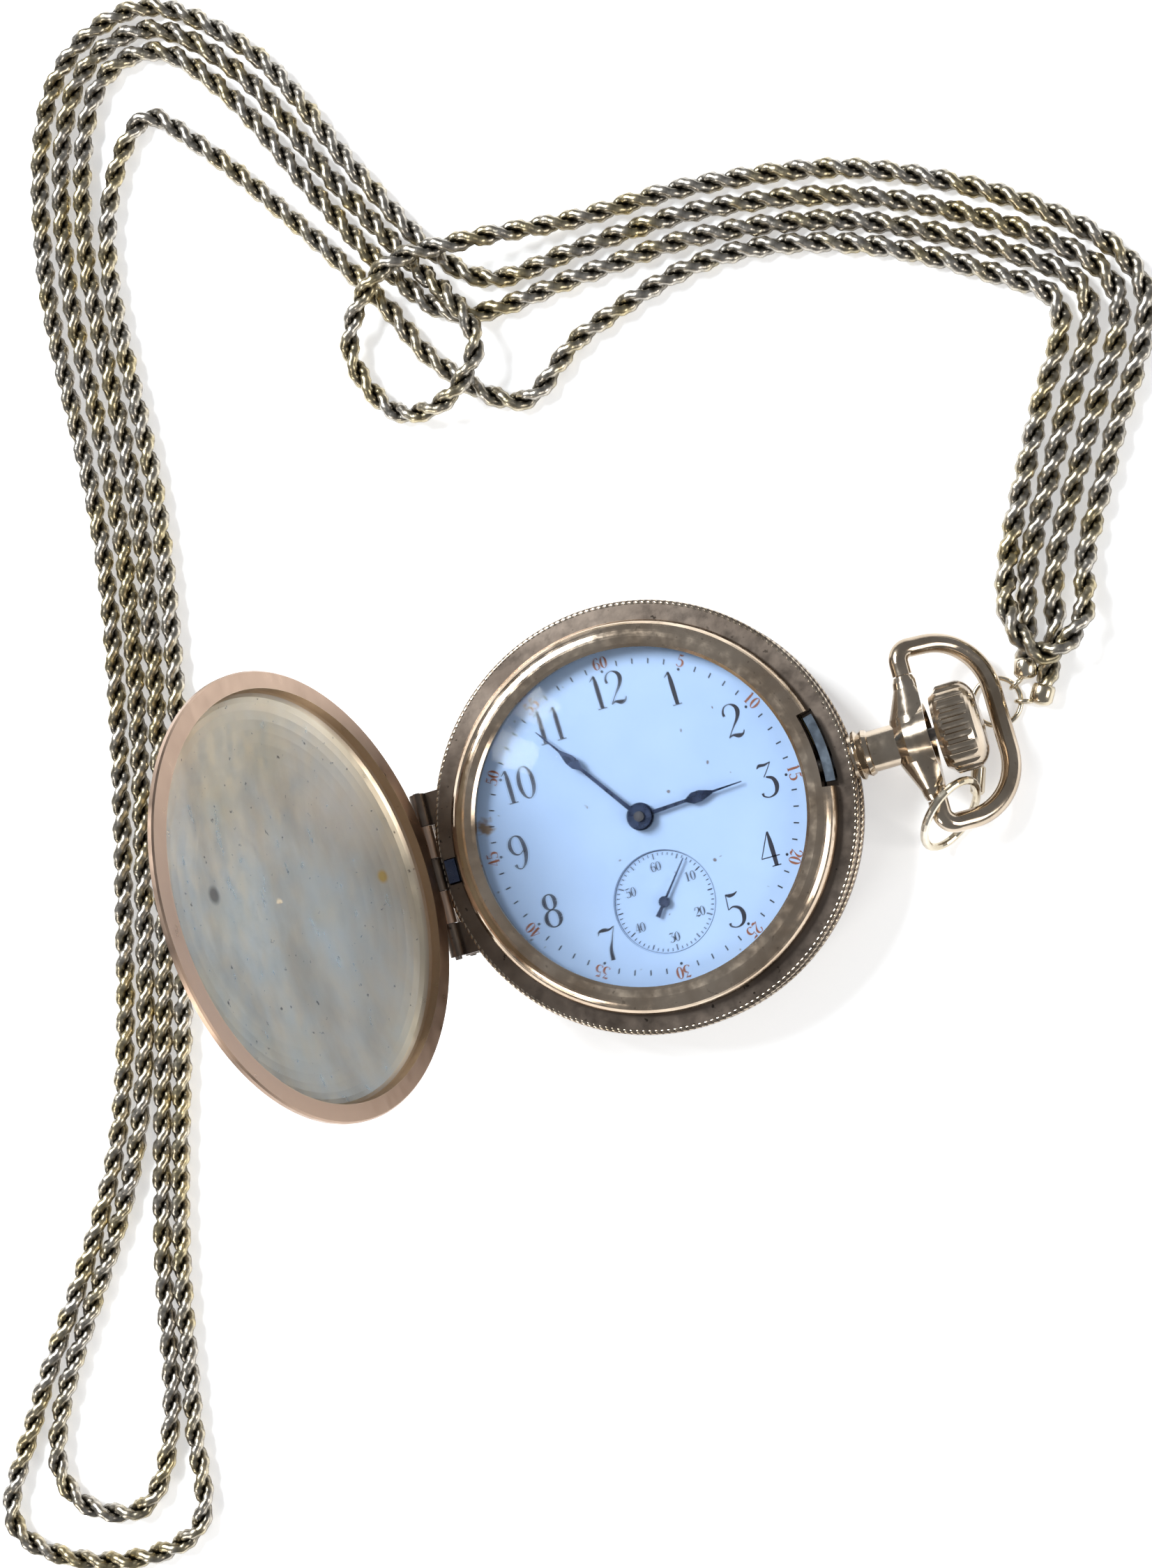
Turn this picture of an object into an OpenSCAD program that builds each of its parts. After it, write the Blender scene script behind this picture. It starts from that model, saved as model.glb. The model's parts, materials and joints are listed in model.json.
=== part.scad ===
// Hunter-case pocket watch, lying on its back with the front lid open.
// Frame: origin at the middle of the back cover's flat, +Z out of the dial,
// +X towards the crown at 3 o'clock, +Y towards 12 o'clock. Millimetres.

/* [Case] */
// Diameter over the rope-cut edge
case_d = 42; // [41.8:0.1:42.4]
// Angle the front lid stands open from closed, degrees
lid_open = 105; // [60:5:130]
// Height of the flat rim that the front lid closes on
rim_z = 8.0; // [8.0:0.05:8.2]
// Thickness of the sheet in the lid, back cover and dust cover
sheet_t = 0.5; // [0.4:0.05:0.6]

/* [Pendant] */
// Height of the pendant and stem axis
stem_z = 5.9; // [5.8:0.05:6.0]
// Distance from the watch's middle to the bow's pivot
bow_x = 27.5; // [27.3:0.1:27.9]
// Bow wire diameter
bow_wire = 1.9; // [1.6:0.1:2.0]
// Angle the bow hangs below the pendant axis, degrees
bow_drop = 30; // [10:1:30]
// Number of flutes on the crown
crown_flutes = 26; // [20:1:30]

/* [Dial] */
// Diameter of the enamel dial
dial_d = 34.4; // [33.6:0.1:34.6]
// Hour shown
hour_now = 2; // [0:1:11]
// Minute shown
minute_now = 54; // [0:1:59]
// Second shown
second_now = 6.5; // [0:0.5:59.5]

/* [Chain] */
// Diameter of the rope chain
chain_d = 2.2; // [1.8:0.1:2.2]

/* [Hidden] */
$fn = 96;
case_r = case_d / 2;
gap = 0.05;                 // between faces that rest on each other
band_r = case_r - 0.3;      // case band inside the rope-cut beads
bead_r = 0.3;
back_rim_z = 3.85;          // top of the back cover's rim
band_z = back_rim_z + gap;  // bottom of the case band
bezel_r = 19.05;
opening_r = 16.3;           // dial opening in the bezel
bezel_top = 9.9;
lid_wall_r = 19.3;          // inside wall of the lid's rim
hinge_x = -21.3;
front_hinge_z = rim_z + 0.35;
back_hinge_z = 3.45;
knuckle_r = 0.75;
knuckle_w = 3.3;            // five knuckles side by side make each hinge
knuckle_gap = 0.06;
pin_r = 0.35;
hinge_bore_r = 0.38;

// Heights in the movement, from the back
bridge_z0 = 2.4;
bridge_z1 = 3.3;
plate_z0 = 5.5;
plate_z1 = 7.0;
pocket_z = 6.2;             // floor of the motion-work pocket
plate_r = 17.25;
dial_z0 = 7.1;
dial_z1 = 8.0;
seconds_z = dial_z1 - 0.25;

// Gears: teeth, module and places
center_teeth = 80;
third_teeth = 75;
fourth_teeth = 80;
escape_teeth = 15;
train_leaves = 10;
escape_leaves = 8;
barrel_teeth = 72;
ratchet_teeth = 60;
crown_wheel_teeth = 30;
cannon_teeth = 12;
minute_teeth = 36;
minute_leaves = 10;
hour_teeth = 40;
center_m = 0.145;
third_m = 0.12;
fourth_m = 0.115;
barrel_m = 0.19;
winding_m = 0.207;
motion_m = 0.15;
hour_m = 0.144;
seconds_at = [0, -8.5];
// the third wheel stands where it meshes with both the center wheel and the fourth pinion
third_to_center = center_m * (center_teeth + train_leaves) / 2;
third_to_fourth = third_m * (third_teeth + train_leaves) / 2;
third_y = (pow(third_to_center, 2) - pow(third_to_fourth, 2) + pow(seconds_at[1], 2)) / (2 * seconds_at[1]);
third_at = [-sqrt(pow(third_to_center, 2) - pow(third_y, 2)), third_y];
escape_dir = 200;
escape_at = seconds_at + fourth_m * (fourth_teeth + escape_leaves) / 2 * [cos(escape_dir), sin(escape_dir)];
barrel_dir = 50;
barrel_at = barrel_m * (barrel_teeth + train_leaves) / 2 * [cos(barrel_dir), sin(barrel_dir)];
winding_dir = -32;
crown_wheel_at = barrel_at
    + winding_m * (ratchet_teeth + crown_wheel_teeth) / 2 * [cos(winding_dir), sin(winding_dir)];
minute_at = [motion_m * (cannon_teeth + minute_teeth) / 2, 0];
balance_at = [-10.45, -3.4];
pallet_at = [-7.82, -8.55];
balance_r = 5.0;
cock_foot_at = [-12.45, -9.35];
click_at = [0.6, 13.0];
screw_circle_r = 15.3;
barrel_screw_dirs = [30, 100, 150];
train_screw_dirs = [-15, -50, -100];
case_screw_dirs = [60, 240];
case_screw_r = 16.3;
arbor_r = 0.25;
pivot_r = 0.1;
jewel_hole_r = 0.12;
jewel_r = 0.5;

// Crown and pendant
pendant_x1 = 28.6;          // end of the pendant, short of the crown pressed in
crown_x0 = 29.3;
crown_len = 4.2;
crown_r = 4.3;
stem_r = 0.6;
sleeve_r = 1.4;
neck_r = 2.0;
ear_y = 6.0;
bow_reach = 8.6;
bow_half_w = 8.6;

// Middle of the rope chain, from one end on the jump ring round to the other.
// Four runs lie side by side, folded at the crown and at the far end, and cross at a knot.
chain_route = [
    [39, 0.5, 1.2], [42, 6, 1.2], [44, 13, 1.2], [50, 23.5, 1.2], [56.5, 35.5, 1.2], [50.5, 44, 1.2],
    [36, 53, 1.2], [21, 57, 1.2], [8, 57.5, 1.2], [-1.5, 57.5, 1.2], [-7, 62.5, 1.2], [-13, 74, 1.2],
    [-20, 89, 1.2], [-31, 98.5, 1.2], [-43, 93.5, 1.2], [-49, 74, 1.2], [-50.5, 42, 1.2],
    [-57.5, 8, 1.2], [-65.5, -18, 1.2], [-81, -41.5, 1.2], [-87, -53, 1.2], [-78, -58.8, 1.2],
    [-66.5, -57.5, 1.2], [-64, -46, 1.2], [-60, -26, 1.2], [-50, 9.5, 1.2], [-43.3, 44, 1.2],
    [-41.5, 74, 1.2], [-34.5, 86.5, 1.2], [-28.5, 82, 1.2], [-19.5, 69, 1.2], [-13.5, 59, 1.2],
    [-9.5, 51, 1.2], [-2, 44.5, 1.2], [6, 49, 1.2], [20, 52, 1.2], [33.5, 49, 1.2], [46, 41.5, 1.2],
    [51, 36, 1.2], [46, 26.5, 1.2], [40, 15, 1.2], [38.5, 8.5, 3.2], [41, 4.4, 3.6], [45, 7, 2.8],
    [47, 13, 1.2], [52, 22, 1.2], [59, 35.5, 1.2], [52, 46, 1.2], [37, 55.5, 1.2], [21.5, 59.5, 1.2],
    [8, 60.5, 1.4], [-3, 61.5, 3.6], [-12, 61.5, 3.9], [-18, 55.5, 1.8], [-15.5, 48, 1.2],
    [-9.5, 46.5, 3.2], [-4.8, 50.5, 3.6], [-5.5, 55.5, 3.5], [-9.3, 61.8, 1.4], [-15.2, 73, 1.2],
    [-22, 87.5, 1.2], [-31, 96, 1.2], [-41, 92, 1.2], [-46.5, 74, 1.2], [-48.1, 42.5, 1.2],
    [-55, 8.5, 1.2], [-63, -18, 1.2], [-78.5, -42.5, 1.2], [-79.5, -51.5, 1.2], [-72, -54.3, 1.2],
    [-66.5, -46, 1.2], [-62.3, -26.5, 1.2], [-52.5, 9, 1.2], [-45.7, 43.5, 1.2], [-44, 74, 1.2],
    [-39, 90.5, 1.2], [-31, 93.5, 1.2], [-24, 86, 1.2], [-17.3, 72, 1.2], [-12, 62, 1.2],
    [-5.5, 55, 1.2], [8, 54.8, 1.2], [20.5, 54.5, 1.2], [34.5, 51, 1.2], [48, 43, 1.2], [53.8, 36, 1.2],
    [48, 25, 1.2], [41.8, 14, 1.2], [39.8, 8, 1.2], [38.3, 3.3, 1.2]
];
chain_sides = 8;
chain_tube_r = chain_d * 0.42;   // inside the hollows of the rope
jump_ring_r = 2.3;
jump_wire_r = 0.25;
swivel_ring_half = [3.2, 4.4];
swivel_wire_r = 0.4;

// ---- helpers ----

function polar(r, a) = [r * cos(a), r * sin(a)];

// Points on an ellipse from angle a0 to a1
function oval(c, rx, ry, a0, a1, n) =
    [for (i = [0 : n]) let (a = a0 + (a1 - a0) * i / n) [c[0] + rx * cos(a), c[1] + ry * sin(a)]];

module tube_ring(r_out, r_in, z0, z1) {
    translate([0, 0, z0])
        difference() {
            cylinder(r = r_out, h = z1 - z0);
            translate([0, 0, -1])
                cylinder(r = r_in, h = z1 - z0 + 2);
        }
}

module disc(r, z0, z1) {
    translate([0, 0, z0])
        cylinder(r = r, h = z1 - z0);
}

module at(p) {
    translate([p[0], p[1], 0])
        children();
}

// Cylinder along the stem axis, from x0 to x1
module stem_bar(r, x0, x1) {
    translate([x0, 0, stem_z])
        rotate([0, 90, 0])
            cylinder(r = r, h = x1 - x0);
}

// Solid of revolution about the stem axis, from [x, radius] points
module stem_turned(points) {
    translate([0, 0, stem_z])
        rotate([0, 90, 0])
            rotate_extrude()
                polygon([for (p = points) [p[1], p[0]]]);
}

// Flat gear outline with a tooth centred on angle phase
module gear_outline(teeth, m, phase) {
    pitch_r = teeth * m / 2;
    step = 360 / teeth;
    root_r = pitch_r - 1.1 * m;
    tip_r = pitch_r + 0.7 * m;
    root_half = step * 0.2;
    tip_half = step * 0.1;
    tooth = [[-root_half, root_r], [-tip_half, tip_r], [tip_half, tip_r], [root_half, root_r]];
    polygon([
        for (i = [0 : teeth - 1], p = tooth)
            polar(p[1], phase + i * step + p[0])
    ]);
}

module gear(teeth, m, phase, z0, z1) {
    translate([0, 0, z0])
        linear_extrude(z1 - z0)
            gear_outline(teeth, m, phase);
}

// Spoked gear: rim, hub and arms
module spoked_gear(teeth, m, phase, z0, z1, arms) {
    rim_in = teeth * m / 2 - 1.1 * m - 0.55;
    translate([0, 0, z0])
        linear_extrude(z1 - z0) {
            difference() {
                gear_outline(teeth, m, phase);
                circle(r = rim_in);
            }
            circle(r = 0.9);
            for (i = [0 : arms - 1])
                rotate(i * 360 / arms)
                    translate([0, -0.22])
                        square([rim_in + 0.2, 0.44]);
        }
}

// Arbor with a pivot at each end
module arbor(z0, z1) {
    disc(arbor_r, z0, z1);
    disc(pivot_r, z0 - 0.5, z0 + 0.1);
    disc(pivot_r, z1 - 0.1, z1 + 0.5);
}

// Cylinder along a hinge at height z, from y0 to y1
module hinge_bar(r, z, y0, y1) {
    translate([hinge_x, y1, z])
        rotate([90, 0, 0])
            cylinder(r = r, h = y1 - y0);
}

function knuckle_y0(i) = -2.5 * knuckle_w + i * knuckle_w + knuckle_gap / 2;

module knuckles(z, which) {
    for (i = which)
        hinge_bar(knuckle_r, z, knuckle_y0(i), knuckle_y0(i) + knuckle_w - knuckle_gap);
}

module knuckle_space(z, which) {
    for (i = which)
        hinge_bar(knuckle_r + 0.12, z, knuckle_y0(i) - 0.06, knuckle_y0(i) + knuckle_w);
}

// Block that joins the knuckles in which to a sheet, out to depth x1
module knuckle_lugs(which, z0, z1, x1) {
    for (i = which)
        translate([hinge_x, knuckle_y0(i), z0])
            cube([x1 - hinge_x, knuckle_w - knuckle_gap, z1 - z0]);
}

// Moves a piece of the lid from closed to where it stands open
module opened() {
    translate([hinge_x, 0, front_hinge_z])
        rotate([0, -lid_open, 0])
            translate([-hinge_x, 0, -front_hinge_z])
                children();
}

// ---- case ----

module case_center() {
    color("#9a8a6a")
        difference() {
            union() {
                rotate_extrude()
                    polygon(concat(
                        [[18.6, band_z]],
                        oval([band_r, band_z + bead_r], bead_r, bead_r, -90, 90, 8),
                        oval([band_r, rim_z - bead_r], bead_r, bead_r, -90, 90, 8),
                        [
                            [18.1, rim_z], [18.1, 5.45], [17.35, 5.45], [17.35, 4.95],
                            [19.6, 4.95], [19.6, 4.5], [18.6, 4.5]
                        ]
                    ));
                knuckles(front_hinge_z, [0, 2, 4]);
                knuckle_lugs([0, 2, 4], rim_z - 0.8, rim_z, -18.8);
                knuckles(back_hinge_z, [0, 4]);
                knuckle_lugs([0, 4], band_z, band_z + 0.7, -18.8);
            }
            hinge_bar(hinge_bore_r, front_hinge_z, -10, 10);
            hinge_bar(hinge_bore_r, back_hinge_z, -10, 10);
            knuckle_space(front_hinge_z, [1, 3]);
            knuckle_space(back_hinge_z, [1, 2, 3]);
            // hole for the pendant sleeve
            stem_bar(neck_r + 0.02, 15, 30);
            // slot for the lock spring, clear as it moves inwards
            lock_spring_shape(19.3, 17.5, 7.2, 10, 1.5);
            // slot for the lift spring
            translate([-20.35, -1.3, 6.2])
                cube([1.4, 2.6, 4]);
        }
}

module bezel() {
    color("#b39a5e")
        difference() {
            rotate_extrude()
                polygon(concat(
                    [[bezel_r, rim_z + gap / 2]],
                    oval([17.3, 8.3], bezel_r - 17.3, bezel_top - 8.3, 0, 90, 12),
                    [
                        [16.6, 9.85], [opening_r, 9.6], [opening_r, 9.32], [16.75, 9.32], [16.75, 8.85],
                        [16.45, 8.85], [16.45, 8.45], [17.75, 8.45], [17.75, 7.35], [18.05, 7.35],
                        [18.05, rim_z + gap / 2]
                    ]
                ));
            lock_spring_shape(20, 17.95, 7.2, 11, 1.5);
        }
}

module crystal() {
    rim = 16.2;
    color("#dde8f2", 0.35)
        rotate_extrude()
            polygon(concat(
                [for (i = [0 : 10]) let (r = rim * i / 10) [r, 9.29 + 1.45 * (1 - pow(r / rim, 2))]],
                [[16.7, 9.29], [16.7, 8.9], [16.4, 8.9]],
                [for (i = [10 : -1 : 0]) let (r = 15.9 * i / 10) [r, 8.95 + 1.1 * (1 - pow(r / 15.9, 2))]]
            ));
}

module front_lid() {
    dome_z = 9.0;
    inner_h = 2.9;
    color("#a39a80")
        opened()
            difference() {
                union() {
                    rotate_extrude()
                        polygon(concat(
                            [[lid_wall_r, rim_z + gap], [case_r - 0.15, rim_z + gap], [case_r, 8.2],
                             [case_r, 8.6], [case_r - 0.2, 8.75], [lid_wall_r + sheet_t + 0.1, 8.8]],
                            oval([0, dome_z], lid_wall_r + sheet_t, inner_h + sheet_t, 0, 90, 16),
                            oval([0, dome_z], lid_wall_r, inner_h, 90, 0, 16)
                        ));
                    knuckles(front_hinge_z, [1, 3]);
                    knuckle_lugs([1, 3], front_hinge_z - 0.2, front_hinge_z + 0.55, -19.6);
                }
                hinge_bar(hinge_bore_r, front_hinge_z, -10, 10);
                knuckle_space(front_hinge_z, [0, 2, 4]);
            }
}

module back_cover() {
    color("#a99468")
        difference() {
            union() {
                rotate_extrude()
                    polygon(concat(
                        [[0, 0]],
                        oval([13, 3.0], case_r - 13.1, 3.0, -90, 0, 14),
                        [
                            [case_r - 0.1, back_rim_z - 0.1], [case_r - 0.2, back_rim_z],
                            [case_r - 0.9, back_rim_z]
                        ],
                        oval([13, 3.1], case_r - 13.9, 2.6, 0, -90, 14),
                        [[0, sheet_t]]
                    ));
                knuckles(back_hinge_z, [1, 3]);
                knuckle_lugs([1, 3], back_hinge_z - 0.5, back_hinge_z + 0.3, -20.3);
            }
            hinge_bar(hinge_bore_r, back_hinge_z, -10, 10);
            knuckle_space(back_hinge_z, [0, 2, 4]);
            // notch for the dust cover's hinge lug
            translate([hinge_x, -knuckle_w / 2 - 0.1, 3.35])
                cube([1.9, knuckle_w + 0.2, 1]);
        }
}

module cuvette() {
    r_edge = 18.45;
    color("#b7a06a")
        difference() {
            union() {
                rotate_extrude()
                    polygon([
                        [0, 0.9], [16.4, 0.9], [18.1, 3.0], [r_edge + 0.9, 3.55],
                        [r_edge + 0.9, band_z - 0.05], [r_edge, band_z - 0.05], [r_edge, 4.4],
                        [r_edge - 0.35, 4.4], [r_edge - 0.35, 3.6],
                        [17.8, 3.35], [16.3, 1.25], [0, 1.25]
                    ]);
                knuckles(back_hinge_z, [2]);
                knuckle_lugs([2], 3.55, band_z - 0.05, -18.8);
            }
            hinge_bar(hinge_bore_r, back_hinge_z, -10, 10);
        }
}

module front_hinge_pin() {
    color("#8c8c90")
        hinge_bar(pin_r, front_hinge_z, -2.5 * knuckle_w - 0.3, 2.5 * knuckle_w + 0.1);
}

module back_hinge_pin() {
    color("#8c8c90")
        hinge_bar(pin_r, back_hinge_z, -2.5 * knuckle_w - 0.1, 2.5 * knuckle_w + 0.1);
}

// Curved bar of the lock spring between two radii and heights; spare widens it in angle
module lock_spring_shape(r_out, r_in, z0, z1, spare) {
    bar_from = -5.5 - spare;
    bar_step = (20 + 2 * spare) / 8;
    translate([0, 0, z0])
        linear_extrude(z1 - z0)
            polygon(concat(
                [for (i = [0 : 8]) polar(r_out, bar_from + bar_step * i)],
                [for (i = [8 : -1 : 0]) polar(r_in, bar_from + bar_step * i)]
            ));
}

module lock_spring() {
    color("#2d3a55") {
        lock_spring_shape(19.1, 18.5, 7.3, 9.1, 0);
        lock_spring_shape(19.2, 18.3, 8.7, 9.1, 0);
    }
}

module lift_spring() {
    color("#2d3a55")
        translate([-20.2, -1.15, 6.9])
            cube([1.1, 2.3, 1.7]);
}

// ---- pendant, crown and bow ----

module pendant() {
    color("#b9a878")
        difference() {
            union() {
                // neck with two beads
                stem_turned([
                    [20.5, 0], [20.5, neck_r], [21.2, neck_r], [21.3, 2.3], [21.6, 2.45], [21.9, 2.05],
                    [22.3, 2.3], [22.7, 2.15], [22.8, neck_r], [25.4, neck_r], [26.3, 2.7],
                    [pendant_x1 + 0.1, 3.4], [pendant_x1 + 0.1, 0]
                ]);
                // the two ears: a spindle across the axis
                translate([bow_x, 0, stem_z])
                    rotate([-90, 0, 0])
                        rotate_extrude()
                            polygon([
                                [0, -ear_y], [0.95, -ear_y], [1.15, -ear_y + 0.5], [1.25, -4.9],
                                [2.4, -2.2], [2.7, 0], [2.4, 2.2],
                                [1.25, 4.9], [1.15, ear_y - 0.5], [0.95, ear_y], [0, ear_y]
                            ]);
            }
            // bore for the sleeve and the cup that faces the crown
            stem_bar(sleeve_r + 0.02, 19, 30);
            stem_turned([[28.0, 0], [28.0, 2.9], [28.7, 3.1], [29, 3.1], [29, 0]]);
            // flat end: nothing of the ears reaches the crown
            stem_bar(ear_y + 1, pendant_x1, pendant_x1 + 3);
            // pivot holes for the bow
            for (side = [-1, 1])
                translate([bow_x, side * (ear_y - 1.8), stem_z])
                    rotate([-side * 90, 0, 0])
                        cylinder(r = bow_wire / 2 - 0.3 + 0.03, h = 4);
        }
}

module pendant_sleeve() {
    color("#8f8a80")
        difference() {
            stem_turned([[17.9, 0], [17.9, 1.1], [20.4, 1.1], [20.4, sleeve_r], [27.6, sleeve_r], [27.6, 0]]);
            stem_bar(stem_r + 0.04, 17, 29);
        }
}

module case_stem() {
    color("#7f8288")
        stem_bar(stem_r, 13.2, 32.3);
}

module crown() {
    color("#b9a878")
        difference() {
            translate([crown_x0, 0, 0])
                stem_turned(concat(
                    [[0, 0], [0, 3.5], [0.35, 3.75], [0.9, crown_r]],
                    [[2.5, crown_r]],
                    [for (i = [1 : 8]) let (a = i * 10) [2.5 + 1.7 * sin(a), 2.2 + (crown_r - 2.2) * cos(a)]],
                    [[crown_len, 2.2], [crown_len, 0]]
                ));
            // stem bore, with room for the crown to be pulled and pressed
            stem_bar(stem_r + 0.04, 28, 32.9);
            // inside, over the end of the pendant
            stem_bar(2.6, 28, crown_x0 + 0.9);
            for (i = [0 : crown_flutes - 1])
                translate([crown_x0 - 0.3, 0, stem_z])
                    rotate([i * 360 / crown_flutes, 0, 0])
                        translate([0, 0, crown_r + 0.12])
                            rotate([0, 90, 0])
                                cylinder(r = 0.38, h = 4.1, $fn = 16);
        }
}

// Half of the bow, on the side of +Y, lying in the XY plane with its pivot at the origin
module bow_half() {
    r = bow_wire / 2;
    bend = 1.3;
    corner = 5.6;
    // arm along the pivot, thin where it enters the ear
    translate([0, ear_y - 1.6, 0])
        rotate([-90, 0, 0])
            cylinder(r = r - 0.3, h = 3);
    translate([0, ear_y + 0.12, 0])
        rotate([-90, 0, 0])
            cylinder(r = r, h = bow_half_w - bend - ear_y - 0.12);
    translate([bend, bow_half_w - bend, 0])
        rotate([0, 0, 90])
            rotate_extrude(angle = 90)
                translate([bend, 0])
                    circle(r = r, $fn = 32);
    translate([bend, bow_half_w, 0])
        rotate([0, 90, 0])
            cylinder(r = r, h = bow_reach - bend - corner);
    translate([bow_reach - corner, bow_half_w - corner, 0])
        rotate_extrude(angle = 90)
            translate([corner, 0])
                circle(r = r, $fn = 32);
    translate([bow_reach, 0, 0])
        rotate([-90, 0, 0])
            cylinder(r = r, h = bow_half_w - corner);
}

module bow() {
    color("#a8994f")
        translate([bow_x, 0, stem_z])
            rotate([0, bow_drop, 0]) {
                bow_half();
                mirror([0, 1, 0])
                    bow_half();
            }
}

module case_screws() {
    color("#6f7685")
        for (a = case_screw_dirs)
            at(polar(case_screw_r, a))
                difference() {
                    union() {
                        disc(1.3, 4.35, 4.9);
                        disc(0.5, 4.8, 6.4);
                    }
                    translate([-1.5, -0.12, 4.2])
                        cube([3, 0.24, 0.35]);
                }
}

// ---- dial and hands ----

module dial() {
    color("#dfe6f0")
        difference() {
            disc(dial_d / 2, dial_z0, dial_z1);
            disc(1.25, dial_z0 - 1, dial_z1 + 1);
            at(seconds_at) {
                disc(5.05, seconds_z, dial_z1 + 1);
                disc(0.35, dial_z0 - 1, dial_z1);
            }
        }
}

// Direction of a hand that has gone share of its round, from 12 o'clock
function hand_dir(share) = 90 - 360 * share;

// Hand pointing along +X: hub, stem, a leaf and a fine tip
module hand(length, hub_r, bore_r, leaf_at, leaf_w, z0, z1) {
    translate([0, 0, z0])
        linear_extrude(z1 - z0)
            difference() {
                union() {
                    circle(r = hub_r);
                    polygon([
                        [0, -0.22], [leaf_at - 1.2, -0.16], [leaf_at - 0.5, -leaf_w / 2],
                        [leaf_at + 0.3, -leaf_w / 2], [leaf_at + 1.6, -0.11], [length, -0.05],
                        [length, 0.05], [leaf_at + 1.6, 0.11], [leaf_at + 0.3, leaf_w / 2],
                        [leaf_at - 0.5, leaf_w / 2], [leaf_at - 1.2, 0.16], [0, 0.22]
                    ]);
                }
                circle(r = bore_r);
            }
}

module hour_hand() {
    color("#1d2230")
        rotate(hand_dir((hour_now + minute_now / 60) / 12))
            hand(10.4, 1.35, 0.95, 5.9, 1.1, 8.42, 8.57);
}

module minute_hand() {
    color("#1d2230")
        rotate(hand_dir(minute_now / 60))
            hand(13.2, 1.2, 0.5, 8.6, 1.0, 8.8, 8.95);
}

module second_hand() {
    color("#1d2230")
        at(seconds_at)
            rotate(hand_dir(second_now / 60))
                difference() {
                    union() {
                        translate([0, 0, 8.08])
                            linear_extrude(0.12)
                                polygon([
                                    [-1.6, -0.22], [0, -0.12], [4.6, -0.05],
                                    [4.6, 0.05], [0, 0.12], [-1.6, 0.22]
                                ]);
                        disc(0.55, 8.0, 8.24);
                    }
                    disc(0.16, 7, 8.15);
                }
}

module cannon_pinion() {
    color("#b0a060")
        difference() {
            union() {
                gear(cannon_teeth, motion_m, 0, 6.25, 6.6);
                disc(0.62, 6.6, 8.7);
                disc(0.5, 8.7, 9.2);
            }
            disc(0.31, 6, 8.9);
        }
}

module hour_wheel() {
    color("#c9b36b")
        difference() {
            union() {
                gear(hour_teeth, hour_m, 180 / hour_teeth, 6.66, 6.86);
                disc(0.95, 6.66, 8.6);
            }
            disc(0.68, 6, 9);
        }
}

module minute_wheel() {
    color("#c9b36b")
        at(minute_at)
            difference() {
                union() {
                    gear(minute_teeth, motion_m, 180 + 180 / minute_teeth, 6.28, 6.5);
                    gear(minute_leaves, hour_m, 180, 6.5, 6.9);
                }
                disc(0.3, 6, 8);
            }
}

// ---- movement ----

module main_plate() {
    color("#c8b878")
        difference() {
            union() {
                disc(plate_r, plate_z0, plate_z1);
                disc(17.9, plate_z0, plate_z0 + 0.45);
                for (a = concat(barrel_screw_dirs, train_screw_dirs))
                    at(polar(screw_circle_r, a))
                        disc(1.0, bridge_z1, plate_z0);
                at(cock_foot_at)
                    disc(1.0, bridge_z1, plate_z0);
            }
            // pocket for the motion work, under the dial, leaving the minute wheel's stud
            difference() {
                union() {
                    disc(3.3, pocket_z, plate_z1 + 1);
                    at(minute_at)
                        disc(3.1, pocket_z, plate_z1 + 1);
                }
                at(minute_at)
                    disc(0.26, pocket_z - 1, 6.95);
            }
            disc(0.4, plate_z0 - 1, plate_z1);
            at(seconds_at)
                disc(0.2, plate_z0 - 1, plate_z1 + 1);
            for (p = [third_at, escape_at, pallet_at, balance_at])
                at(p)
                    disc(jewel_hole_r, plate_z0 - 1, plate_z0 + 0.6);
            at(barrel_at)
                disc(0.75, plate_z0 - 1, plate_z0 + 0.5);
            // slot for the stem and the winding pinion
            translate([12.6, -2.2, plate_z0 - 1])
                cube([10, 4.4, 5]);
            for (a = case_screw_dirs)
                at(polar(case_screw_r, a))
                    disc(0.5, plate_z0 - 1, 6.4);
            // screw holes in the pillars
            for (a = concat(barrel_screw_dirs, train_screw_dirs))
                at(polar(screw_circle_r, a))
                    disc(0.4, bridge_z1 - 1, 5.0);
            at(cock_foot_at)
                disc(0.4, bridge_z1 - 1, 5.0);
        }
}

module balance_space() {
    at(balance_at)
        disc(balance_r + 0.65, -1, plate_z0 - 0.01);
}

module screw_holes(dirs) {
    for (a = dirs)
        at(polar(screw_circle_r, a)) {
            disc(0.4, 0, 5);
            disc(0.85, bridge_z0 - 1, bridge_z0 + 0.35);
        }
}

module barrel_bridge() {
    split_y = -2.2;
    color("#d4d2c8")
        difference() {
            disc(16.6, bridge_z0, bridge_z1);
            translate([-20, split_y - 40, 0])
                cube([40, 40, 10]);
            balance_space();
            screw_holes(barrel_screw_dirs);
            at(barrel_at)
                disc(0.95, 0, 5);
            // window where the crown wheel reaches the winding pinion
            at(crown_wheel_at)
                disc(2.4, 0, 5);
            at(click_at)
                disc(0.4, 0, 5);
            disc(jewel_r, 0, 5);
        }
}

module train_bridge() {
    split_y = -2.4;
    color("#d4d2c8")
        difference() {
            disc(16.6, bridge_z0, bridge_z1);
            translate([-20, split_y, 0])
                cube([40, 40, 10]);
            // the bridge ends short of the cock's foot
            translate([-33, -20, 0])
                cube([20, 40, 10]);
            balance_space();
            screw_holes(train_screw_dirs);
            at(cock_foot_at)
                disc(2.4, 0, 5);
            for (p = [third_at, seconds_at, escape_at])
                at(p)
                    disc(jewel_r, 0, 5);
            // room for the pallet bridge
            at(pallet_at)
                disc(1.4, 0, 5);
        }
}

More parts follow.
